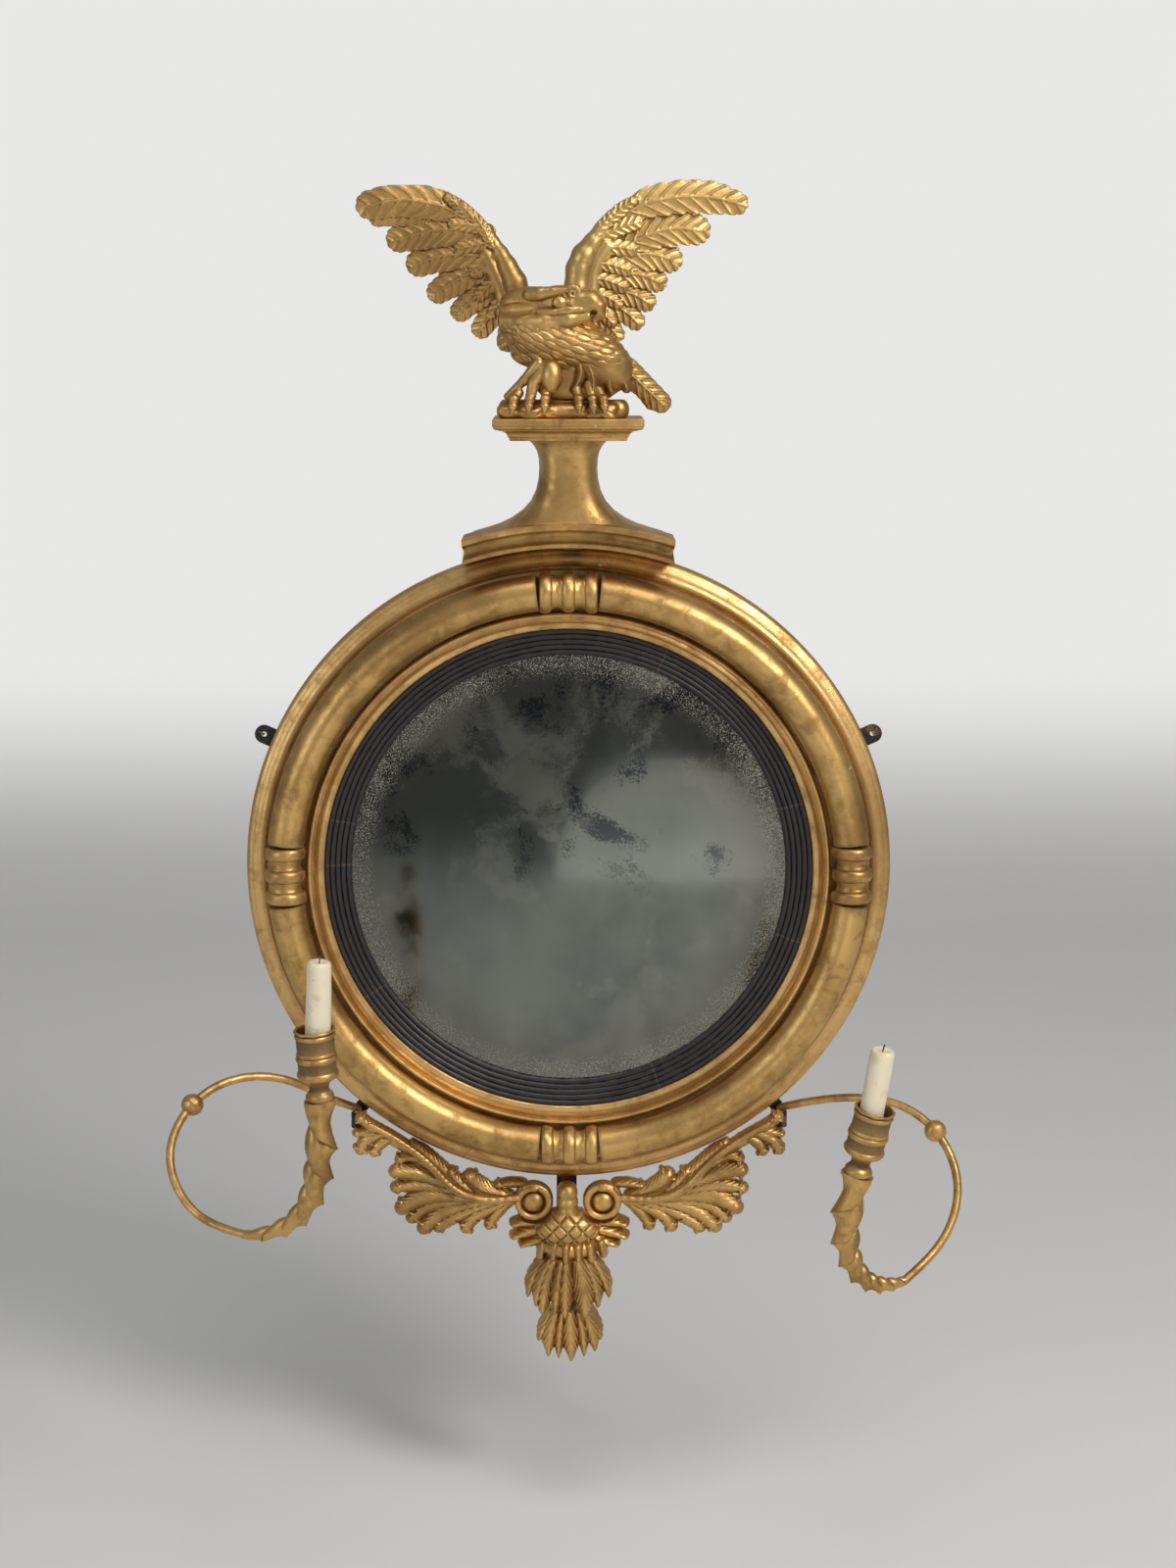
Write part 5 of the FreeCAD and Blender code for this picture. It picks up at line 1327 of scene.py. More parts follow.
def make_eagle():
    """Body, head, tail and feet; the head looks to the right and the tail falls away to the right."""
    low, high = corners("eagle_body")
    block = Carving((low[0] - 2, low[1] - 2, low[2] - 2), (high[0] + 4, high[1] + 2, high[2] + 2), EAGLE_STEP)
    # breast, back and rump
    block.ball((-16, 67, 485), (43, 25, 20), turn=-8)
    block.ball((14, 65, 476), (42, 22, 19), turn=-24, blend=8)
    block.ball((33, 62, 459), (27, 19, 18), turn=-32, blend=6)
    block.ball((-14, 62, 470), (36, 16, 15), blend=6)
    block.ball((8, 58, 446), (38, 14, 22), blend=6)
    front = (block.d > 62) & (block.z < 497)
    block.value -= lens_feathers(block.x, block.z, (-4, 481), (58, 22), -24, 15.0, 5.6, 1.5) * front
    # tail: a long feather over a shorter one
    block.frond([(44, 458), (56, 447), (68, 434), (73, 427)], (7, 7.5, 7, 6.4), 55, 8.0, crown=0.5, rib=1.2,
                barb=1.0, pitch=7, notch=0.06)
    block.frond([(22, 476), (38, 466), (58, 449), (74, 434), (81, 427.5)], (8, 11, 11.5, 10.5, 9.5), 59, 12.0,
                crown=0.45,
                rib=1.6, barb=1.5, pitch=8.5, notch=0.06, rise=-4, lean=1.1, curl=0.02)
    # leafy thighs over the legs, with a dark hollow between them
    block.limb([(-26, 76, 462), (-38, 74, 447), (-53, 70, 433)], [5.0, 4.2, 3.2], blend=1.5)
    block.limb([(-20, 76, 460), (-30, 78, 445), (-33, 79, 431)], [5.5, 5.2, 4.6], blend=1.0)
    block.ball((-14.5, 78, 451), (9.5, 9, 14.5), blend=1.2)
    for spine, half in (([(10, 464), (11, 452), (5, 439)], 5.0), ([(14, 464), (21, 452), (22, 438)], 5.6),
                        ([(18, 464), (32, 453), (37, 438)], 6.0), ([(26, 464), (44, 453), (51, 440)], 6.5)):
        block.frond(spine, (half, half * 1.1, half * 0.7), 70 - abs(spine[2][0] - 18) * 0.22, 10.5, crown=0.6,
                    rib=1.2, barb=0.5, pitch=6, blend=0.8)
    block.limb([(1, 96, 458), (-1, 96, 446), (0, 96, 437)], [6.0, 7.5, 6.0], cut=True)
    # feet: three knuckled toes each, hooked over the front of the rock
    for x, top in ((-47, 436), (-33.5, 442), (-20, 440), (9, 439), (21, 443), (30.5, 438)):
        lean = 0.10 * (x + 8)
        block.limb([(x - lean, 74, top), (x, 79.5, 430), (x + lean * 0.3, 83.2, 424.5)], [4.6, 4.0, 3.4],
                   blend=0.8)
        block.ball((x, 81, 431.5), (4.4, 4.4, 3.6), blend=0.5)
        block.ball((x + lean * 0.2, 83.6, 425.3), (3.9, 3.6, 3.3), blend=0.5)
        block.limb([(x + lean * 0.3, 84.5, 422.5), (x + lean * 0.5, 84.4, 418.4)], [2.8, 1.3], blend=0.4)
    # neck, back of the head, skull and lower face
    block.ball((-30, 72, 511), (29, 15, 16), turn=-3, blend=4)
    block.ball((-6, 79, 514.5), (25, 12.6, 13.5), blend=4)
    block.limb([(-56, 70, 498), (-38, 80, 497), (-20, 86, 498), (0, 88, 499.5), (16, 88, 502)],
               [8, 8.5, 8, 7, 5], blend=3)
    # the long dark hollow under the back of the head
    block.limb([(-63, 74, 506), (-50, 85, 507), (-36, 90, 508.3), (-25, 93, 509.5), (-17, 95, 513)],
               [3.0, 6.4, 6.2, 4.6, 2.8], cut=True)
    # folds of the throat
    for drop, reach in ((0, 10), (4.2, 2), (8.2, -10)):
        line = [(-57 + drop * 0.3, 79, 496 - drop), (-40, 90, 493.5 - drop * 1.1), (-20, 95, 492.5 - drop),
                (reach, 95, 495 - drop * 0.7)]
        block.limb(line, [0.8, 1.2, 1.2, 0.6], cut=True)
    # beak: a heavy hook
    block.limb([(8, 84, 514), (20, 86.5, 513.6), (25.2, 87.5, 509.5), (27.0, 88, 503.5), (22.6, 88.4, 497.6)],
               [11.2, 10.2, 7.4, 5.0, 1.7], blend=2)
    block.ball((21.6, 96, 504.2), (3.6, 7.5, 2.6), turn=20, cut=True)
    # cheek with a wavy lip, and the line of the mouth
    block.limb([(-26, 91, 505.5), (-12, 93.4, 505.2), (0, 93.8, 507.0), (10, 92.8, 507.2), (19, 91.5, 508)],
               [1.8, 2.8, 3.2, 2.8, 2.2], blend=1.2)
    block.limb([(-34, 90, 502.6), (-24, 94.4, 501.4), (-14, 96.4, 502.4), (-5, 97, 501.2), (6, 96.6, 502.6),
                (18, 95, 504.2)],
               [0.8, 1.2, 1.3, 1.3, 1.3, 1.2], cut=True)
    # brow: a thick strap with a round end, winding into a scroll over the eye
    block.limb([(-33, 85, 520.3), (-24, 89, 520.8), (-13, 91.5, 522.3), (-4, 92.6, 523.6)],
               [6.0, 5.8, 4.4, 3.0], blend=0.8)
    scroll = [math.radians(130 - i * 30) for i in range(17)]
    block.limb([(4.5 + (6.2 - i * 0.3) * math.cos(a), 92.6, 521 + (6.0 - i * 0.3) * math.sin(a)) for i,
                a in enumerate(scroll)],
               list(np.linspace(2.3, 1.3, 17)), blend=0.3)
    block.ball((4.5, 98, 521), (2.2, 5, 2.2), cut=True)
    # eye: a ball in a deep ring
    block.ball((-7.3, 90.5, 513.4), (6.6, 4.4, 6.0), blend=0.8)
    ring = [math.radians(i * 24) for i in range(16)]
    block.limb([(-7.3 + 4.0 * math.cos(a), 95.2, 513.4 + 3.6 * math.sin(a)) for a in ring], [1.3] * 16,
               cut=True)
    block.box((low[0], 46.2, low[2]), (high[0] + 1.5, high[1], high[2]))
    # the rock and its front stay clear
    rock = [np.abs(block.x - (ROCK_LOW[0] + ROCK_HIGH[0]) / 2) - (ROCK_HIGH[0] - ROCK_LOW[0]) / 2 - 0.4,
            block.z - ROCK_HIGH[2] - 0.3, block.d - ROCK_HIGH[1] - 0.4]
    block.limit(-np.maximum(np.maximum(rock[0], rock[1]), rock[2]))
    eagle = carved("eagle", block, finish("gilt_carving"))
    return settle(eagle, "frame", ["eagle_body"])


# ---------------------------------------------------------------- apron

LEAF_FLUTES = [
    # lower lobes, from the volute outwards: line of (x, z) points, half widths
    ([(-54, -322), (-68, -333), (-76, -346)], (5, 7, 5.5)),
    ([(-58, -322), (-78, -330), (-92, -339), (-98, -348)], (5, 7, 8, 6.5)),
    ([(-62, -321), (-90, -329), (-112, -339), (-124, -347)], (5, 7, 8, 6.5)),
    ([(-66, -320), (-98, -325), (-124, -335), (-138, -348)], (5, 7, 9, 7)),
    ([(-72, -320), (-106, -321.5), (-134, -326), (-149, -337.5)], (5, 8, 9, 6.5)),
    ([(-80, -319), (-112, -315.5), (-142, -316.5), (-158, -326)], (5, 8, 10, 7.5)),
    ([(-92, -316), (-122, -308), (-146, -304.5), (-163.5, -306)], (5, 8, 8.5, 6)),
    ([(-104, -309), (-130, -297), (-150, -290.5), (-163.5, -289.5)], (5, 8, 9, 7)),
    ([(-122, -294), (-138, -281), (-152, -276), (-160, -279)], (5, 7, 7, 5)),
    # upper lobes
    ([(-56, -316), (-74, -313), (-88, -303.5), (-94, -297)], (5, 9, 10, 8)),
    ([(-44, -305), (-56, -304.5), (-68, -306)], (5, 5.5, 4.5)),
    ([(-94, -311), (-106, -302), (-112, -292)], (6, 8, 6)),
    ([(-104, -306), (-120, -290), (-134, -276), (-146, -265)], (6, 8, 7.5, 6)),
    # curled end
    ([(-146, -273), (-168, -257), (-188, -243), (-195, -236)], (6, 7, 7, 5.5)),
    ([(-176, -252), (-190, -251), (-200.5, -251.5)], (6, 6.5, 3.6)),
    ([(-178, -252), (-191, -259), (-196, -267)], (6, 7.5, 6)),
    ([(-170, -257), (-180, -264), (-183, -270)], (6, 7, 5.5)),
]


def make_leaf(name, node_name, side, seed):
    """Acanthus leaf: flutes that fan out of the vein and end in curled lobes, a volute at its root."""
    random = np.random.default_rng(seed)
    low, high = corners(node_name)
    block = Carving((low[0] - 3, low[1] - 2, low[2] - 3), (high[0] + 3, high[1] + 4, high[2] + 2), LEAF_STEP)

    def back(x):
        return float(np.interp(abs(x), (55, 150, 172, 210), (7.5, 11.0, 18.2, 18.6)))

    for i, (spine, widths) in enumerate(LEAF_FLUTES):
        drift = random.uniform(-1.6, 1.6, 2) * (side > 0)
        last = len(spine) - 1
        line = [((x + drift[0] * k / last) * -side, z + drift[1] * k / last) for k,
                (x, z) in enumerate(spine)]
        start, end = back(line[0][0]), back(line[-1][0])
        ahead = 0.9 * (i % 2)
        block.frond(line, widths, start + ahead, 12.5, crown=0.62, rib=0.0,
                    rise=end - start + (2.5 if i in (5, 7, 9) else 0.5),
                    dish=1.2, barb=0.5, pitch=6.5, lean=2.6, notch=0.08)
        # a smaller lobe each side of the end
        ax, az = line[-1][0] - line[-2][0], line[-1][1] - line[-2][1]
        span = math.hypot(ax, az)
        for turn in (-1, 1):
            a = math.radians(random.uniform(62, 78) * turn)
            dx = (ax * math.cos(a) - az * math.sin(a)) / span
            dz = (ax * math.sin(a) + az * math.cos(a)) / span
            root = (line[-1][0] - ax * 0.22, line[-1][1] - az * 0.22)
            far = widths[-1] * random.uniform(0.85, 1.15)
            lobe = [root, (root[0] + dx * far, root[1] + dz * far)]
            block.frond(lobe, (widths[-1] * 0.55, widths[-1] * 0.38), end + ahead + 0.6, 11.0, crown=0.6,
                        rib=0.0)
    # deep groove of the vein
    vein = [(x * -side, 30.0 + 8 * (abs(x) - 50) / 136, z) for x, z in spline_flat(LEAF_VEIN)]
    block.limb([(x, d - 4.0, z + 3.4) for x, d, z in vein], list(np.linspace(4.4, 2.6, len(vein))), blend=1.5)
    block.limb([(x, d + 1.0, z - 1.6) for x, d, z in vein], list(np.linspace(4.2, 2.2, len(vein))), cut=True)
    # small notches eaten into the tips
    for x, z in ((-155, -297.5), (-158, -311), (-104, -340), (-86, -340), (-148, -329), (-101, -290),
                 (-187, -262)):
        block.ball((x * -side + random.uniform(-1.5, 1.5), 24, z + random.uniform(-1, 1)), (3.2, 30, 1.3),
                   turn=25 * side, cut=True)
    volute(block, (side * 32.75 - 1.25, -319.5), side)
    block.limit(RING_R + 1.2 - np.sqrt(block.x ** 2 + block.z ** 2))
    block.box(low, high)
    leaf = carved(name, block, finish("gilt_carving"))
    return settle(leaf, "frame", [node_name])


def volute(block, centre, side):
    """Rounded band that winds in to a round boss."""
    cx, cz = centre
    block.ball((cx, 15, cz), (18.5, 9, 18.5), blend=1.0)
    turns = np.linspace(0, 1, 34)
    angles = np.radians(120 - 400 * turns)
    reach = 15.6 - 1.8 * turns
    points = [(cx - side * r * math.cos(a), 24.0 + 3.0 * u, cz + r * math.sin(a)) for u, a,
              r in zip(turns, angles, reach)]
    block.limb(points, list(4.0 - 1.3 * turns), blend=0.3)
    block.ball((cx, 23, cz), (10.0, 7.0, 10.0), blend=0.3)


def make_boss():
    """Centre of the apron: a bud of three beads, a latticed pad, small leaves and a collar of drops."""
    low, high = corners("apron_boss")
    block = Carving((low[0] - 10, low[1] - 1, low[2] - 8), (high[0] + 10, high[1] + 3, high[2] + 2),
                    PENDANT_STEP)
    for z, r, tall in ((-308, 9.8, 10.5), (-318, 10.3, 9.5), (-326, 9.8, 9.0)):
        block.ball((-2.0, 28, z), (r, 12, tall), blend=1.2)
    # latticed pad
    cx, cz = -1.5, -342.5
    pad = ball(block.x, block.d, block.z, (cx, 26, cz), (31.5, 22, 19))
    px, pz = (block.x - cx) / (1 + 0.010 * (block.z - cz)), block.z - cz
    u, v = (px + pz * 0.95) / 14.5, (px - pz * 0.95) / 14.5
    groove = np.minimum(np.abs(u - np.round(u)), np.abs(v - np.round(v))) * 8.0
    lattice = 1.7 * np.exp(-(groove / 0.55) ** 2) - 0.12 * np.clip(groove, 0, 3)
    block.value = join(block.value, (pad + lattice * (block.d > 30)).astype(np.float32), 0.4)
    # a small leaf of three ridges each side
    for side in (-1, 1):
        for spine, half in (
            ([(24, -338), (40, -338.5), (53, -341)], 7.6),
            ([(24, -345), (40, -349), (53, -353.5)], 7.6),
            ([(22, -352), (34, -358), (45, -361.5)], 7.0),
        ):
            block.frond([(x * side, z) for x, z in spine], (half * 0.9, half * 1.05, half * 0.6), 14, 17,
                        crown=0.75, rib=0.0, rise=1.0, barb=0.5, lean=3, pitch=9, notch=0.12)
    # collar of drops
    for i, x in enumerate(np.linspace(-25, 30, 6)):
        block.frond([(x, -358), (x * 1.08, -372.0 + 2.0 * (i % 2))], (5.6, 4.6), 31 - 1.9 * (i - 2.5) ** 2,
                    16, crown=0.6, rib=0.0)
    block.limb([(-25, 24, -362), (-13, 33, -363), (0, 35, -363.5), (12, 33, -363), (24, 24, -362)],
               [7.0, 8.0, 8.4, 8.0, 7.0], blend=1.0)
    block.ball((0, 16, -350), (30, 13, 22), blend=2)
    for side, x in ((-1, -34.0), (1, 30.0)):
        gap = np.sqrt((block.x - x) ** 2 + (block.z + 319.5) ** 2)
        block.limit(19.6 - gap)
    block.box((low[0] - 8, low[1], low[2] - 5.5), (high[0] + 8, high[1], high[2]))
    boss = carved("apron_centre", block, finish("gilt_carving"))
    return settle(boss, "frame", ["apron_boss"])


def make_husk(name, node_name, tips, top, seed):
    """Tier of long rounded leaflets that hang down and flare, with sharp valleys between them."""
    random = np.random.default_rng(seed)
    low, high = corners(node_name)
    block = Carving((low[0] - 2, low[1] - 1, low[2] - 5), (high[0] + 2, high[1] + 3, high[2] + 2),
                    PENDANT_STEP)
    half_top, z_top = top
    middle = 0.5 * (low[0] + high[0])
    height = z_top - low[2]
    block.limb([(middle, 18, z_top - 5), (middle, 19, low[2] + height * 0.45)], [13, 9])
    order = sorted(range(len(tips)), key=lambda i: i % 2)
    for i in order:
        x, z, half = tips[i]
        share = (x - middle) / (high[0] - middle)
        root = (middle + share * half_top, z_top - 2)
        waist = (middle + share * (half_top + 0.75 * (high[0] - middle - half_top)), z_top - height * 0.48)
        tip = (x + random.uniform(-0.8, 0.8), z + half * 0.45)
        plane = (high[1] - 21.5) * math.sqrt(max(0.0, 1 - 0.9 * share ** 2)) - 3.0 + 2.4 * (i % 2)
        block.frond([root, waist, tip], (half * 0.85, half * 1.1, half * 1.25, half * 1.12, half * 0.45),
                    plane, 13.0, crown=0.85, rib=0.0, rise=4.0,
                    barb=0.6, pitch=9, lean=3.4, notch=0.14)
    block.box((low[0], low[1], low[2] - 3.2), high)
    husk = carved(name, block, finish("gilt_carving"))
    return settle(husk, "frame", [node_name])


UPPER_TIPS = [(-40, -413, 6.0), (-32, -419, 5.5), (-25, -427, 8.6), (-13, -424, 5.2), (-4.5, -428.5, 7.6),
              (15, -428.5, 9.0),
              (27, -421, 7.0), (38, -413, 6.2)]
LOWER_TIPS = [(-29, -458, 5.4), (-20.5, -471, 6.6), (-10.5, -472, 5.2), (1, -474.4, 7.4), (14, -471, 5.4),
              (23.5, -467, 6.6), (30, -458, 5.6)]


# ---------------------------------------------------------------- candle arms

def leaned(lean, side):
    axis = np.array([side * math.tan(math.radians(lean[0])), -math.tan(math.radians(lean[1])), 1.0])
    return axis / np.linalg.norm(axis)


def make_arm_wire(name, node_name, points, body):
    path = spline(points[:TWIST_POINT + 1], 24)
    foot = path[0] + np.array([0, 0, -18.0])
    rise = [foot + (path[0] - foot) * u for u in np.linspace(0, 0.85, 8)]
    path = np.vstack([rise, path])
    wire = grown(name, line_mesh(name, path), "wire", finish("gilt_wire"), sharp=60, Radius=WIRE_R * MM,
                 Sides=32, Unevenness=0.04)
    return settle(wire, body, [node_name])


def make_knop(name, node_name, points, body):
    """Ball on the wire, a little lumpy."""
    path = spline(points, 24)
    i = KNOP_POINT * 24
    profile = [(KNOP_R * math.cos(a), KNOP_R * math.sin(a)) for a in np.radians(np.linspace(-66, 66, 40))]

    def lumps(angles, height):
        return (-0.35 * (0.5 + 0.5 * np.sin(3 * angles + height * 0.9))
                * (0.5 + 0.5 * np.sin(5 * angles - height * 1.3)))

    verts, faces = lathe(path[i], path[i + 1] - path[i - 1], profile, 64, lumps)
    knop = mesh_object(name, verts, faces, finish("gilt_composition"), sharp=50)
    return settle(knop, body, [node_name])


# how far below the nozzle each sharp arris of the twisted leaf lies
TWIST_TIPS_LEFT = (4, 45.5, 72.5, 98.5, 124.5, 147, 171, 195)
TWIST_TIPS_RIGHT = (3, 41, 69.3, 90.5, 108.5, 123, 136, 149, 162)


def make_twist(name, node_name, points, side, end_axis, body):
    """Leaf wound round the wire: sharp arrises on the outside of the bend, round swellings on its inside."""
    path = spline(points, 40)[TWIST_POINT * 40:]
    along = lengths(path)
    total = along[-1]
    fine = np.linspace(0, total, TWIST_RINGS)
    line = np.stack([np.interp(fine, along, path[:, i]) for i in range(3)], 1)
    tangents = np.gradient(line, axis=0)
    tangents /= np.linalg.norm(tangents, axis=1)[:, None]
    ease = np.clip((fine - total + 14) / 14, 0, 1)[:, None]
    tangents = tangents * (1 - ease) + np.array(end_axis) * ease
    tangents /= np.linalg.norm(tangents, axis=1)[:, None]
    angles = np.linspace(0, 2 * math.pi, TWIST_SIDES, endpoint=False)
    lap = (angles / (2 * math.pi) + 0.25) % 1.0
    shift = np.where(lap < 0.5, lap * 1.24, 0.62 + (lap - 0.5) * 0.76)
    outside, inside = np.clip(np.sin(angles), 0, 1) ** 1.4, np.clip(-np.sin(angles), 0, 1) ** 1.4
    tips = TWIST_TIPS_LEFT if side < 0 else TWIST_TIPS_RIGHT
    rings = []
    for p, t, s in zip(line, tangents, fine):
        front = np.array([0, -1.0, 0]) - t * (t @ np.array([0, -1.0, 0]))
        front /= np.linalg.norm(front)
        right = np.cross(t, front) * -side
        share = s / total
        u = (np.interp(total - s, tips, range(len(tips))) + 0.62 - shift) % 1.0
        cusp = np.where(u > 0.4, np.clip((u - 0.4) / 0.6, 0, 1) ** 1.5,
                        0.8 * np.clip((0.4 - u) / 0.4, 0, 1) ** 1.6)
        saw = np.clip(u / 0.96, 0, 1) ** 0.8 * np.clip((1 - u) / 0.03, 0, 1) - 0.6 * np.exp(-u / 0.07)
        swell = 1.2 * np.sin(np.pi * u) ** 0.55 - 0.25
        form = outside * cusp + inside * swell + (1 - outside - inside) * saw
        size = 5.6 + 8.2 * min(1.0, share * 1.5) ** 0.9
        fade = min(1.0, share * 8)
        radius = size * (0.58 + 0.48 * form * fade + 0.14 * (1 - fade))
        rings.append(p + np.outer(radius * np.sin(angles), right) + np.outer(radius * np.cos(angles), front))
    verts, faces = capped(rings, line[0], line[-1])
    twist = mesh_object(name, verts, faces, finish("gilt_composition"), sharp=48)
    return settle(twist, body, [node_name])


def nozzle_profile():
    """Outside from the foot up to the rim, then down the bore, as (radius, height)."""
    outside = [(7.0, 0.0), (10.6, 0.4), (12.0, 2.0), (12.3, 4.0), (11.8, 5.8), (10.4, 7.4), (9.0, 9.0),
               (8.3, 11.2), (8.5, 13.6), (9.8, 16.0),
               (12.2, 18.2), (15.0, 20.0), (17.0, 21.6), (17.9, 23.2), (18.1, 24.8), (17.6, 26.2),
               (16.7, 27.0), (16.5, 28.0), (16.6, 35.6),
               (17.0, 36.4), (17.7, 37.2), (18.0, 38.6), (17.7, 40.0), (17.0, 40.8), (16.7, 41.4),
               (17.2, 42.2), (17.2, 43.2), (16.6, 44.0), (16.4, 45.0),
               (16.4, 56.4), (16.9, 57.2), (17.5, 58.2), (17.4, 59.4), (16.8, 60.2), (16.9, 61.2),
               (17.8, 62.4), (18.3, 63.2), (18.0, 63.9)]
    bore = [(16.4, 64.0), (15.9, 63.4), (15.8, 62.0), (15.8, 30.2), (15.4, 30.0), (2.0, 30.0)]
    return outside + bore


def make_nozzle(name, node_name, foot, axis, seed, body):
    random = np.random.default_rng(seed)
    waves = [(random.uniform(0, 2 * math.pi), random.integers(3, 11),
              random.uniform(0.1, 0.35)) for _ in range(4)]

    def chip(angles, height):
        if height < 61.0:
            return 0.0
        return -sum(amount * (0.5 + 0.5 * np.sin(times * angles + phase)) for phase, times,
                    amount in waves) * 0.8

    verts, faces = lathe(foot, axis, nozzle_profile(), 96, chip)
    nozzle = mesh_object(name, verts, faces, finish("gilt_composition"), sharp=40)
    return settle(nozzle, body, [node_name])


def make_candle(name, wick_name, node_name, wick_node, foot, nozzle_axis, axis, length, seed, body):
    """Slightly tapered candle with a softened shoulder and a shallow melted top, and its wick."""
    start = foot + nozzle_axis * 31.0 + axis * 0.6
    random = np.random.default_rng(seed)
    phase = random.uniform(0, 6)
    r = CANDLE_R
    profile = [(r - 0.6, 0.0), (r, 0.8)]
    profile += [(r - 0.7 * u, 0.8 + (length - 4.5) * u) for u in np.linspace(0.02, 1, 24)]
    profile += [(r - 1.0, length - 2.6), (r - 1.6, length - 1.2), (r - 2.6, length - 0.3),
                (r - 4.0, length - 0.2), (r - 6.5, length - 1.6), (2.0, length - 2.2)]

    def waver(angles, height):
        return (0.18 * np.sin(2 * angles + phase + height * 0.05)
                + 0.10 * np.sin(5 * angles - phase + height * 0.11))

    verts, faces = lathe(start, axis, profile, 64, waver)
    candle = mesh_object(name, verts, faces, finish("candle_wax"), sharp=60)
    settle(candle, body, [node_name])
    top = start + axis * (length - 2.6)
    bend = np.array([0.35, -0.2, 0.0])
    path = [top + axis * h + bend * (h / 7.0) ** 2 * 1.4 for h in np.linspace(0, 7.2, 10)]
    wick = grown(wick_name, line_mesh(wick_name, path), "wire", finish("candle_wick"), sharp=60,
                 Radius=0.8 * MM, Sides=12, Unevenness=0.25)
    settle(wick, body, [wick_node])


def make_arm(name, points, side, lean, seed):
    """Wire, knop, twisted leaf and nozzle of one arm."""
    body = "arm_" + name
    axis = leaned(lean, side)
    foot = spline(points[-2:], 1)[-1]
    make_arm_wire("candle_arm_wire_" + name, "arm_wire_" + name, points, body)
    make_knop("candle_arm_knop_" + name, "arm_knop_" + name, points, body)
    make_twist("candle_arm_twist_" + name, "arm_twist_" + name, points, side, axis, body)
    make_nozzle("candle_nozzle_" + name, "nozzle_" + name, foot, axis, seed, body)


def make_candle_in(name, points, side, lean, candle_lean, length, seed):
    foot = spline(points[-2:], 1)[-1]
    make_candle("wax_candle_" + name, "wick_of_candle_" + name, "candle_" + name, "wick_" + name, foot,
                leaned(lean, side), leaned(candle_lean, side), length, seed, "candle_" + name + "_body")


# ---------------------------------------------------------------- backs and iron

def make_lug_wires():
    """Remnants of twisted wire on the lugs."""
    for node_name, side, turns in (("lug_wire_left", -1, 1.25), ("lug_wire_right", 1, 3.5)):
        radial = np.array([side * math.cos(math.radians(LUG_ANGLE)), 0, math.sin(math.radians(LUG_ANGLE))])
        across = np.array([-radial[2], 0, radial[0]])
        ahead = np.array([0.0, -1.0, 0.0])
        hole = np.array([0, -(1.6 + 1.25), 0]) + radial * 306.0
        count = int(turns * 20)
        path = []
        for i in range(count + 1):
            a = 2 * math.pi * i / 20
            out = 4.4 + 0.3 * math.sin(a * 0.37)
            path.append(hole + radial * (out * (1 - math.cos(a)) * 0.62) + ahead * 2.0 * math.sin(a)
                        + across * (i / count - 0.5) * turns * 1.5)
        wire = grown(node_name + "_twist", line_mesh(node_name, path), "wire", finish("old_wire"), sharp=60,
                     Radius=0.6 * MM, Sides=12, Unevenness=0.1)
        settle(wire, "frame", [node_name])


def make_screws():
    """Screws of the straps and the lugs, seen from the back."""
    across, up = math.cos(math.radians(LUG_ANGLE)), math.sin(math.radians(LUG_ANGLE))
    lug = [np.array([side * across * r, -1.5, up * r]) for side in (-1, 1) for r in (270, 284)]
    straps = [np.array([-2.5, -0.1, z]) for z in (256, 282, 330, 385, -262, -284, -330, -352, -400, -436)]
    for points, name in ((lug, "lug_screws"), (straps, "strap_screws")):
        start = loose_mesh(name, [p + np.array([0, -0.95, 0]) for p in points])
        screws = grown(name, start, "screws", finish("wrought_iron"), sharp=30, Head_Radius=3.3 * MM,
                       Seed=len(points))
        settle(screws, "frame", [])


def dress_frame_nodes():
    """Finishes for the CAD nodes whose own shape is right."""
    plain = {
        "plate_blocks": "bare_pine", "backboard_plank_left": "pine_plank_left",
        "backboard_plank_middle": "bare_pine",
        "backboard_plank_right": "pine_plank_right", "pedestal_tenon": "bare_pine", "rock_peg": "bare_pine",
        "wing_dowel_left": "bare_pine", "wing_dowel_right": "bare_pine",
        "hanging_lug_left": "wrought_iron", "hanging_lug_right": "wrought_iron",
        "pedestal_back_strap": "wrought_iron", "apron_strap": "wrought_iron",
        "socket_plate_left": "wrought_iron", "socket_plate_right": "wrought_iron",
    }
    for name, finish_name in plain.items():
        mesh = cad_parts[name].data
        mesh.materials.clear()
        mesh.materials.append(finish(finish_name))


# ---------------------------------------------------------------- stage

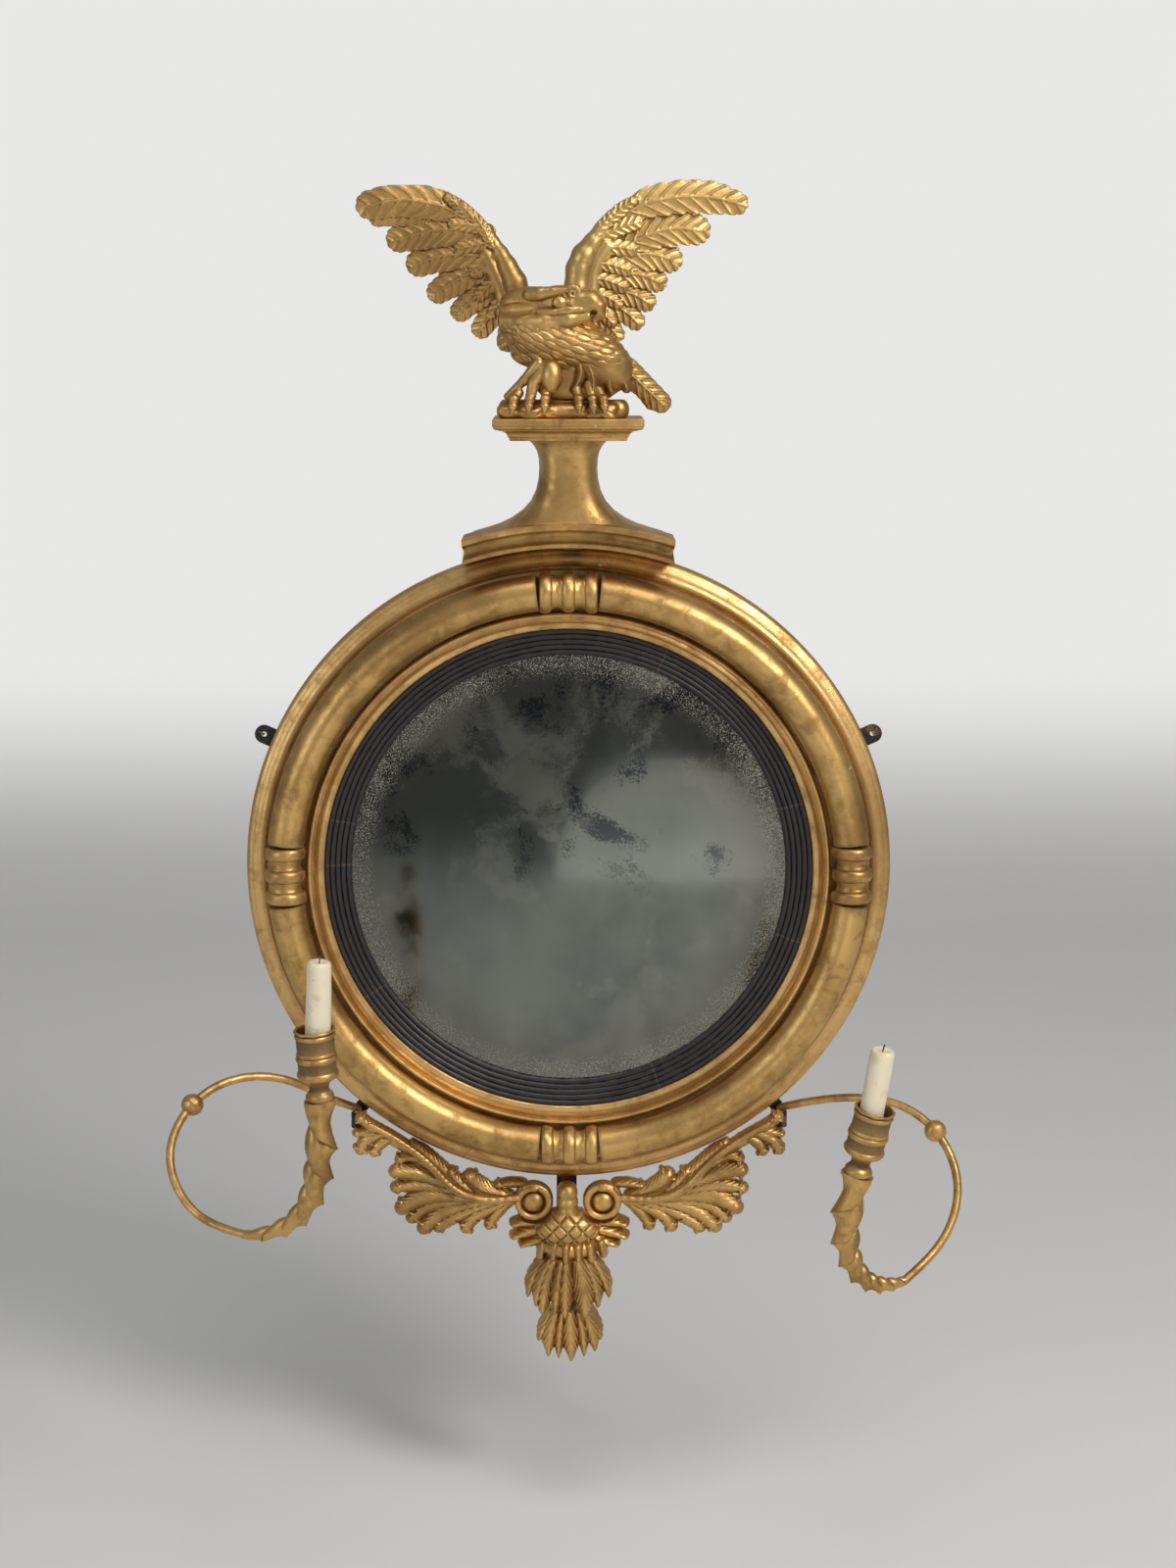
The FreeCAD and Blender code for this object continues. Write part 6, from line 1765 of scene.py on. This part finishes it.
def make_stage(settings):
    """Pale floor and wall in one sweep, soft lamps and the camera at the photograph's angle."""
    material, tree, shader = material_of("pale_studio_paint")
    place = object_place(tree)
    mottle = spread(tree, noise(tree, place, 3.0), 0.3, 0.7)
    wall_colour = (*settings.wall_colour, 1)
    colour = blend_colours(tree, mottle, wall_colour, tuple(c * 0.985 for c in settings.wall_colour) + (1,))
    feed(tree, shader, Base_Color=colour, Roughness=0.95)
    pale = node(tree, "ShaderNodeEmission", {"Color": (*settings.paleness, 1), "Strength": 1.0})
    seen = node(tree, "ShaderNodeLightPath").outputs
    height = node(tree, "ShaderNodeSeparateXYZ", {0: place}).outputs["Z"]
    share = maths(tree, "MULTIPLY", seen["Is Camera Ray"], spread(tree, height, -0.62, -0.25))
    mixed = node(tree, "ShaderNodeMixShader", {0: share, 1: shader.outputs[0], 2: pale.outputs[0]})
    end = next(n for n in tree.nodes if n.bl_idname == "ShaderNodeOutputMaterial")
    tree.links.new(mixed.outputs[0], end.inputs["Surface"])
    half, back, low = 6.0, 3.5, -0.64
    section = [(-6.0, low), (back - 1.2, low)]
    section += [(back - 1.2 + 1.2 * math.sin(a), low + 1.2 - 1.2 * math.cos(a))
                for a in np.linspace(0.05, math.pi / 2, 24)]
    section += [(back, 5.0)]
    verts = [(x, y, z) for x in (-half, half) for y, z in section]
    count = len(section)
    mesh = bpy.data.meshes.new("studio_sweep")
    mesh.from_pydata(verts, [], [(i, i + count, i + count + 1, i + 1) for i in range(count - 1)])
    mesh.shade_smooth()
    mesh.materials.append(material)
    new_object("studio_sweep", mesh)

    for name, place, target, size, power, colour in (
        ("key", (1.9, -2.2, 1.9), (0, 0, 0.05), 1.1, settings.key_power, (1.0, 0.965, 0.92)),
        ("fill", (-2.4, -2.4, 0.7), (0, 0, 0.0), 2.0, settings.fill_power, (0.94, 0.97, 1.0)),
        ("top", (0.2, -1.2, 2.6), (0, 0, 0.2), 1.2, settings.top_power, (1.0, 0.98, 0.95)),
        ("low", (0.6, -2.6, -0.55), (0, 0, -0.1), 1.4, settings.low_power, (1.0, 0.96, 0.9)),
    ):
        lamp = bpy.data.lights.new(name, "AREA")
        lamp.shape = "DISK"
        lamp.size = size
        lamp.energy = power
        lamp.color = colour
        holder = new_object(name, lamp)
        holder.location = place
        towards = Vector(target) - Vector(place)
        holder.rotation_euler = towards.to_track_quat("-Z", "Y").to_euler()

    world = bpy.data.worlds.new("pale_room")
    world.use_nodes = True
    sky = world.node_tree
    shade = sky.nodes["Background"]
    place = node(sky, "ShaderNodeTexCoord").outputs["Generated"]
    height = node(sky, "ShaderNodeSeparateXYZ", {0: place}).outputs["Z"]
    share = spread(sky, height, -0.4, 0.7)
    tone = blend_colours(sky, share, (0.62, 0.60, 0.57, 1), (0.80, 0.81, 0.83, 1))
    sky.links.new(tone, shade.inputs["Color"])
    shade.inputs["Strength"].default_value = settings.room_strength
    bpy.context.scene.world = world
    bpy.context.scene.view_settings.view_transform = "Standard"

    camera = bpy.data.cameras.new("camera")
    camera.sensor_fit = "VERTICAL"
    camera.sensor_height = 36.0
    camera.lens = settings.lens
    camera.clip_end = 50.0
    eye = new_object("camera", camera)
    eye.location = (0.0, -2.2746, 0.5017)
    eye.rotation_euler = (math.radians(79.42), 0.0, math.radians(-0.448))
    bpy.context.scene.camera = eye


# ---------------------------------------------------------------- settings, operators and panel

class GirandoleFinishSettings(bpy.types.PropertyGroup):
    gold: bpy.props.FloatVectorProperty(
        name="Gold", description="Colour of the sound gilding", default=(0.66, 0.42, 0.150), subtype="COLOR",
        min=0.0, max=1.0)
    # painted light: brighter gold for the lit right wing
    bright_gold: bpy.props.FloatVectorProperty(
        name="Bright gold", description="Colour of the brighter gilding on the right wing",
        default=(0.76, 0.52, 0.20),
        subtype="COLOR", min=0.0, max=1.0)
    toned: bpy.props.FloatVectorProperty(
        name="Toned gold", description="Colour of the darkened patches", default=(0.33, 0.19, 0.065),
        subtype="COLOR", min=0.0, max=1.0)
    ochre_gold: bpy.props.FloatVectorProperty(
        name="Ring gold", description="Colour of the gilding on the ring", default=(0.72, 0.47, 0.19),
        subtype="COLOR", min=0.0, max=1.0)
    ochre: bpy.props.FloatVectorProperty(
        name="Ring ochre", description="Colour of the matt patches on the ring", default=(0.50, 0.30, 0.105),
        subtype="COLOR", min=0.0, max=1.0)
    bole: bpy.props.FloatVectorProperty(
        name="Bole", description="Red-brown ground where the gold is rubbed", default=(0.22, 0.085, 0.032),
        subtype="COLOR", min=0.0, max=1.0)


class GirandoleStageSettings(bpy.types.PropertyGroup):
    wall_colour: bpy.props.FloatVectorProperty(
        name="Wall colour", description="Colour of the floor that takes the shadow",
        default=(0.78, 0.78, 0.77), subtype="COLOR",
        min=0.0, max=1.0)
    paleness: bpy.props.FloatVectorProperty(
        name="Paleness", description="Colour that the camera sees on the backdrop",
        default=(0.80, 0.80, 0.79), subtype="COLOR",
        min=0.0, max=1.0)
    key_power: bpy.props.FloatProperty(
        name="Key lamp", description="Power of the lamp at the upper right", default=62.0, min=0.0,
        unit="POWER")
    fill_power: bpy.props.FloatProperty(
        name="Fill lamp", description="Power of the lamp at the left", default=16.0, min=0.0, unit="POWER")
    top_power: bpy.props.FloatProperty(
        name="Top lamp", description="Power of the lamp overhead", default=14.0, min=0.0, unit="POWER")
    low_power: bpy.props.FloatProperty(
        name="Low lamp", description="Power of the lamp near the floor", default=6.0, min=0.0, unit="POWER")
    room_strength: bpy.props.FloatProperty(
        name="Room light", description="Strength of the light from all round", default=0.38, min=0.0)
    lens: bpy.props.FloatProperty(
        name="Lens", description="Focal length for the photograph's angle of view", default=57.51, min=1.0)


class GIRANDOLE_OT_turned_ring(bpy.types.Operator):
    """Make the turned ring that carries the rest of the frame"""
    bl_idname = "girandole.turned_ring"
    bl_label = "Turned ring"

    def execute(self, context):
        make_ring()
        return {"FINISHED"}


class GIRANDOLE_OT_torus(bpy.types.Operator):
    """Make the four quarters of the gilt torus moulding"""
    bl_idname = "girandole.torus"
    bl_label = "Torus quarters"

    def execute(self, context):
        make_torus()
        return {"FINISHED"}


class GIRANDOLE_OT_clasps(bpy.types.Operator):
    """Make the four clasps of three beads over the joints of the torus"""
    bl_idname = "girandole.clasps"
    bl_label = "Clasps"

    def execute(self, context):
        make_clasps()
        return {"FINISHED"}


class GIRANDOLE_OT_reeded_slip(bpy.types.Operator):
    """Make the black reeded slip round the glass"""
    bl_idname = "girandole.reeded_slip"
    bl_label = "Reeded slip"

    def execute(self, context):
        make_slip()
        return {"FINISHED"}


class GIRANDOLE_OT_convex_glass(bpy.types.Operator):
    """Make the convex mirror glass"""
    bl_idname = "girandole.convex_glass"
    bl_label = "Convex glass"

    def execute(self, context):
        make_glass()
        return {"FINISHED"}


class GIRANDOLE_OT_pedestal(bpy.types.Operator):
    """Make the arched plinth, the waisted neck, the top slab and the rock"""
    bl_idname = "girandole.pedestal"
    bl_label = "Pedestal"

    def execute(self, context):
        make_plinth()
        make_neck()
        make_slab()
        make_rock()
        return {"FINISHED"}


class GIRANDOLE_OT_wings(bpy.types.Operator):
    """Carve the two spread wings"""
    bl_idname = "girandole.wings"
    bl_label = "Wings"

    def execute(self, context):
        make_wing("eagle_wing_left", "wing_left", FEATHERS_LEFT, COVERTS_LEFT, SHOULDER_LEFT, -1, 11)
        make_wing("eagle_wing_right", "wing_right", FEATHERS_RIGHT, COVERTS_RIGHT, SHOULDER_RIGHT, 1, 12)
        return {"FINISHED"}


class GIRANDOLE_OT_eagle(bpy.types.Operator):
    """Carve the eagle's head, body, tail and feet"""
    bl_idname = "girandole.eagle"
    bl_label = "Eagle"

    def execute(self, context):
        make_eagle()
        return {"FINISHED"}


class GIRANDOLE_OT_apron_leaves(bpy.types.Operator):
    """Carve the two acanthus leaves with their volutes"""
    bl_idname = "girandole.apron_leaves"
    bl_label = "Apron leaves"

    def execute(self, context):
        make_leaf("acanthus_leaf_left", "apron_leaf_left", -1, 21)
        make_leaf("acanthus_leaf_right", "apron_leaf_right", 1, 22)
        return {"FINISHED"}


class GIRANDOLE_OT_pendant(bpy.types.Operator):
    """Carve the latticed centre of the apron and its two tiers of leaflets"""
    bl_idname = "girandole.pendant"
    bl_label = "Apron centre"

    def execute(self, context):
        make_boss()
        make_husk("pendant_upper_tier", "pendant_upper_husk", UPPER_TIPS, (26.0, -372.0), 31)
        make_husk("pendant_lower_tier", "pendant_lower_husk", LOWER_TIPS, (22.0, -425.5), 32)
        return {"FINISHED"}


class GIRANDOLE_OT_candle_arms(bpy.types.Operator):
    """Make the wire, knop, twisted leaf and nozzle of each candle arm"""
    bl_idname = "girandole.candle_arms"
    bl_label = "Candle arms"

    def execute(self, context):
        make_arm("left", ARM_LEFT, -1, NOZZLE_LEAN_LEFT, 41)
        make_arm("right", ARM_RIGHT, 1, NOZZLE_LEAN_RIGHT, 42)
        return {"FINISHED"}


class GIRANDOLE_OT_candles(bpy.types.Operator):
    """Make the candles and their wicks"""
    bl_idname = "girandole.candles"
    bl_label = "Candles"

    def execute(self, context):
        make_candle_in("left", ARM_LEFT, -1, NOZZLE_LEAN_LEFT, CANDLE_LEAN_LEFT, 92.0, 51)
        make_candle_in("right", ARM_RIGHT, 1, NOZZLE_LEAN_RIGHT, CANDLE_LEAN_RIGHT, 86.0, 52)
        return {"FINISHED"}


class GIRANDOLE_OT_ironwork(bpy.types.Operator):
    """Make the old wire on the lugs and the screws of the ironwork"""
    bl_idname = "girandole.ironwork"
    bl_label = "Wires and screws"

    def execute(self, context):
        make_lug_wires()
        make_screws()
        return {"FINISHED"}


class GIRANDOLE_OT_bare_parts(bpy.types.Operator):
    """Give the planks, blocks, dowels, straps and lugs of the frame their finishes"""
    bl_idname = "girandole.bare_parts"
    bl_label = "Wood and iron finishes"

    def execute(self, context):
        dress_frame_nodes()
        return {"FINISHED"}


class GIRANDOLE_OT_stage(bpy.types.Operator):
    """Set up the pale floor and wall, the lamps and the camera"""
    bl_idname = "girandole.stage"
    bl_label = "Stage"

    def execute(self, context):
        make_stage(context.scene.girandole_stage)
        return {"FINISHED"}


OPERATORS = (
    GIRANDOLE_OT_turned_ring,
    GIRANDOLE_OT_torus,
    GIRANDOLE_OT_clasps,
    GIRANDOLE_OT_reeded_slip,
    GIRANDOLE_OT_convex_glass,
    GIRANDOLE_OT_pedestal,
    GIRANDOLE_OT_wings,
    GIRANDOLE_OT_eagle,
    GIRANDOLE_OT_apron_leaves,
    GIRANDOLE_OT_pendant,
    GIRANDOLE_OT_candle_arms,
    GIRANDOLE_OT_candles,
    GIRANDOLE_OT_ironwork,
    GIRANDOLE_OT_bare_parts,
    GIRANDOLE_OT_stage,
)


class GIRANDOLE_PT_panel(bpy.types.Panel):
    """Panel that lists the making of the girandole mirror"""
    bl_idname = "GIRANDOLE_PT_panel"
    bl_label = "Girandole mirror"
    bl_space_type = "VIEW_3D"
    bl_region_type = "UI"
    bl_category = "Girandole"

    def draw(self, context):
        column = self.layout.column(align=True)
        for operator in OPERATORS:
            column.operator(operator.bl_idname)
        for group_name in ("girandole_finish", "girandole_stage"):
            settings = getattr(context.scene, group_name)
            for label in settings.__annotations__:
                self.layout.prop(settings, label)


CLASSES = (GirandoleFinishSettings, GirandoleStageSettings) + OPERATORS + (GIRANDOLE_PT_panel,)


def register():
    for cls in CLASSES:
        bpy.utils.register_class(cls)
    bpy.types.Scene.girandole_finish = bpy.props.PointerProperty(type=GirandoleFinishSettings)
    bpy.types.Scene.girandole_stage = bpy.props.PointerProperty(type=GirandoleStageSettings)


def unregister():
    del bpy.types.Scene.girandole_stage
    del bpy.types.Scene.girandole_finish
    for cls in reversed(CLASSES):
        bpy.utils.unregister_class(cls)


def main():
    register()
    for operator in OPERATORS:
        getattr(bpy.ops.girandole, operator.bl_idname.split(".")[1])()


if __name__ == "__main__":
    main()
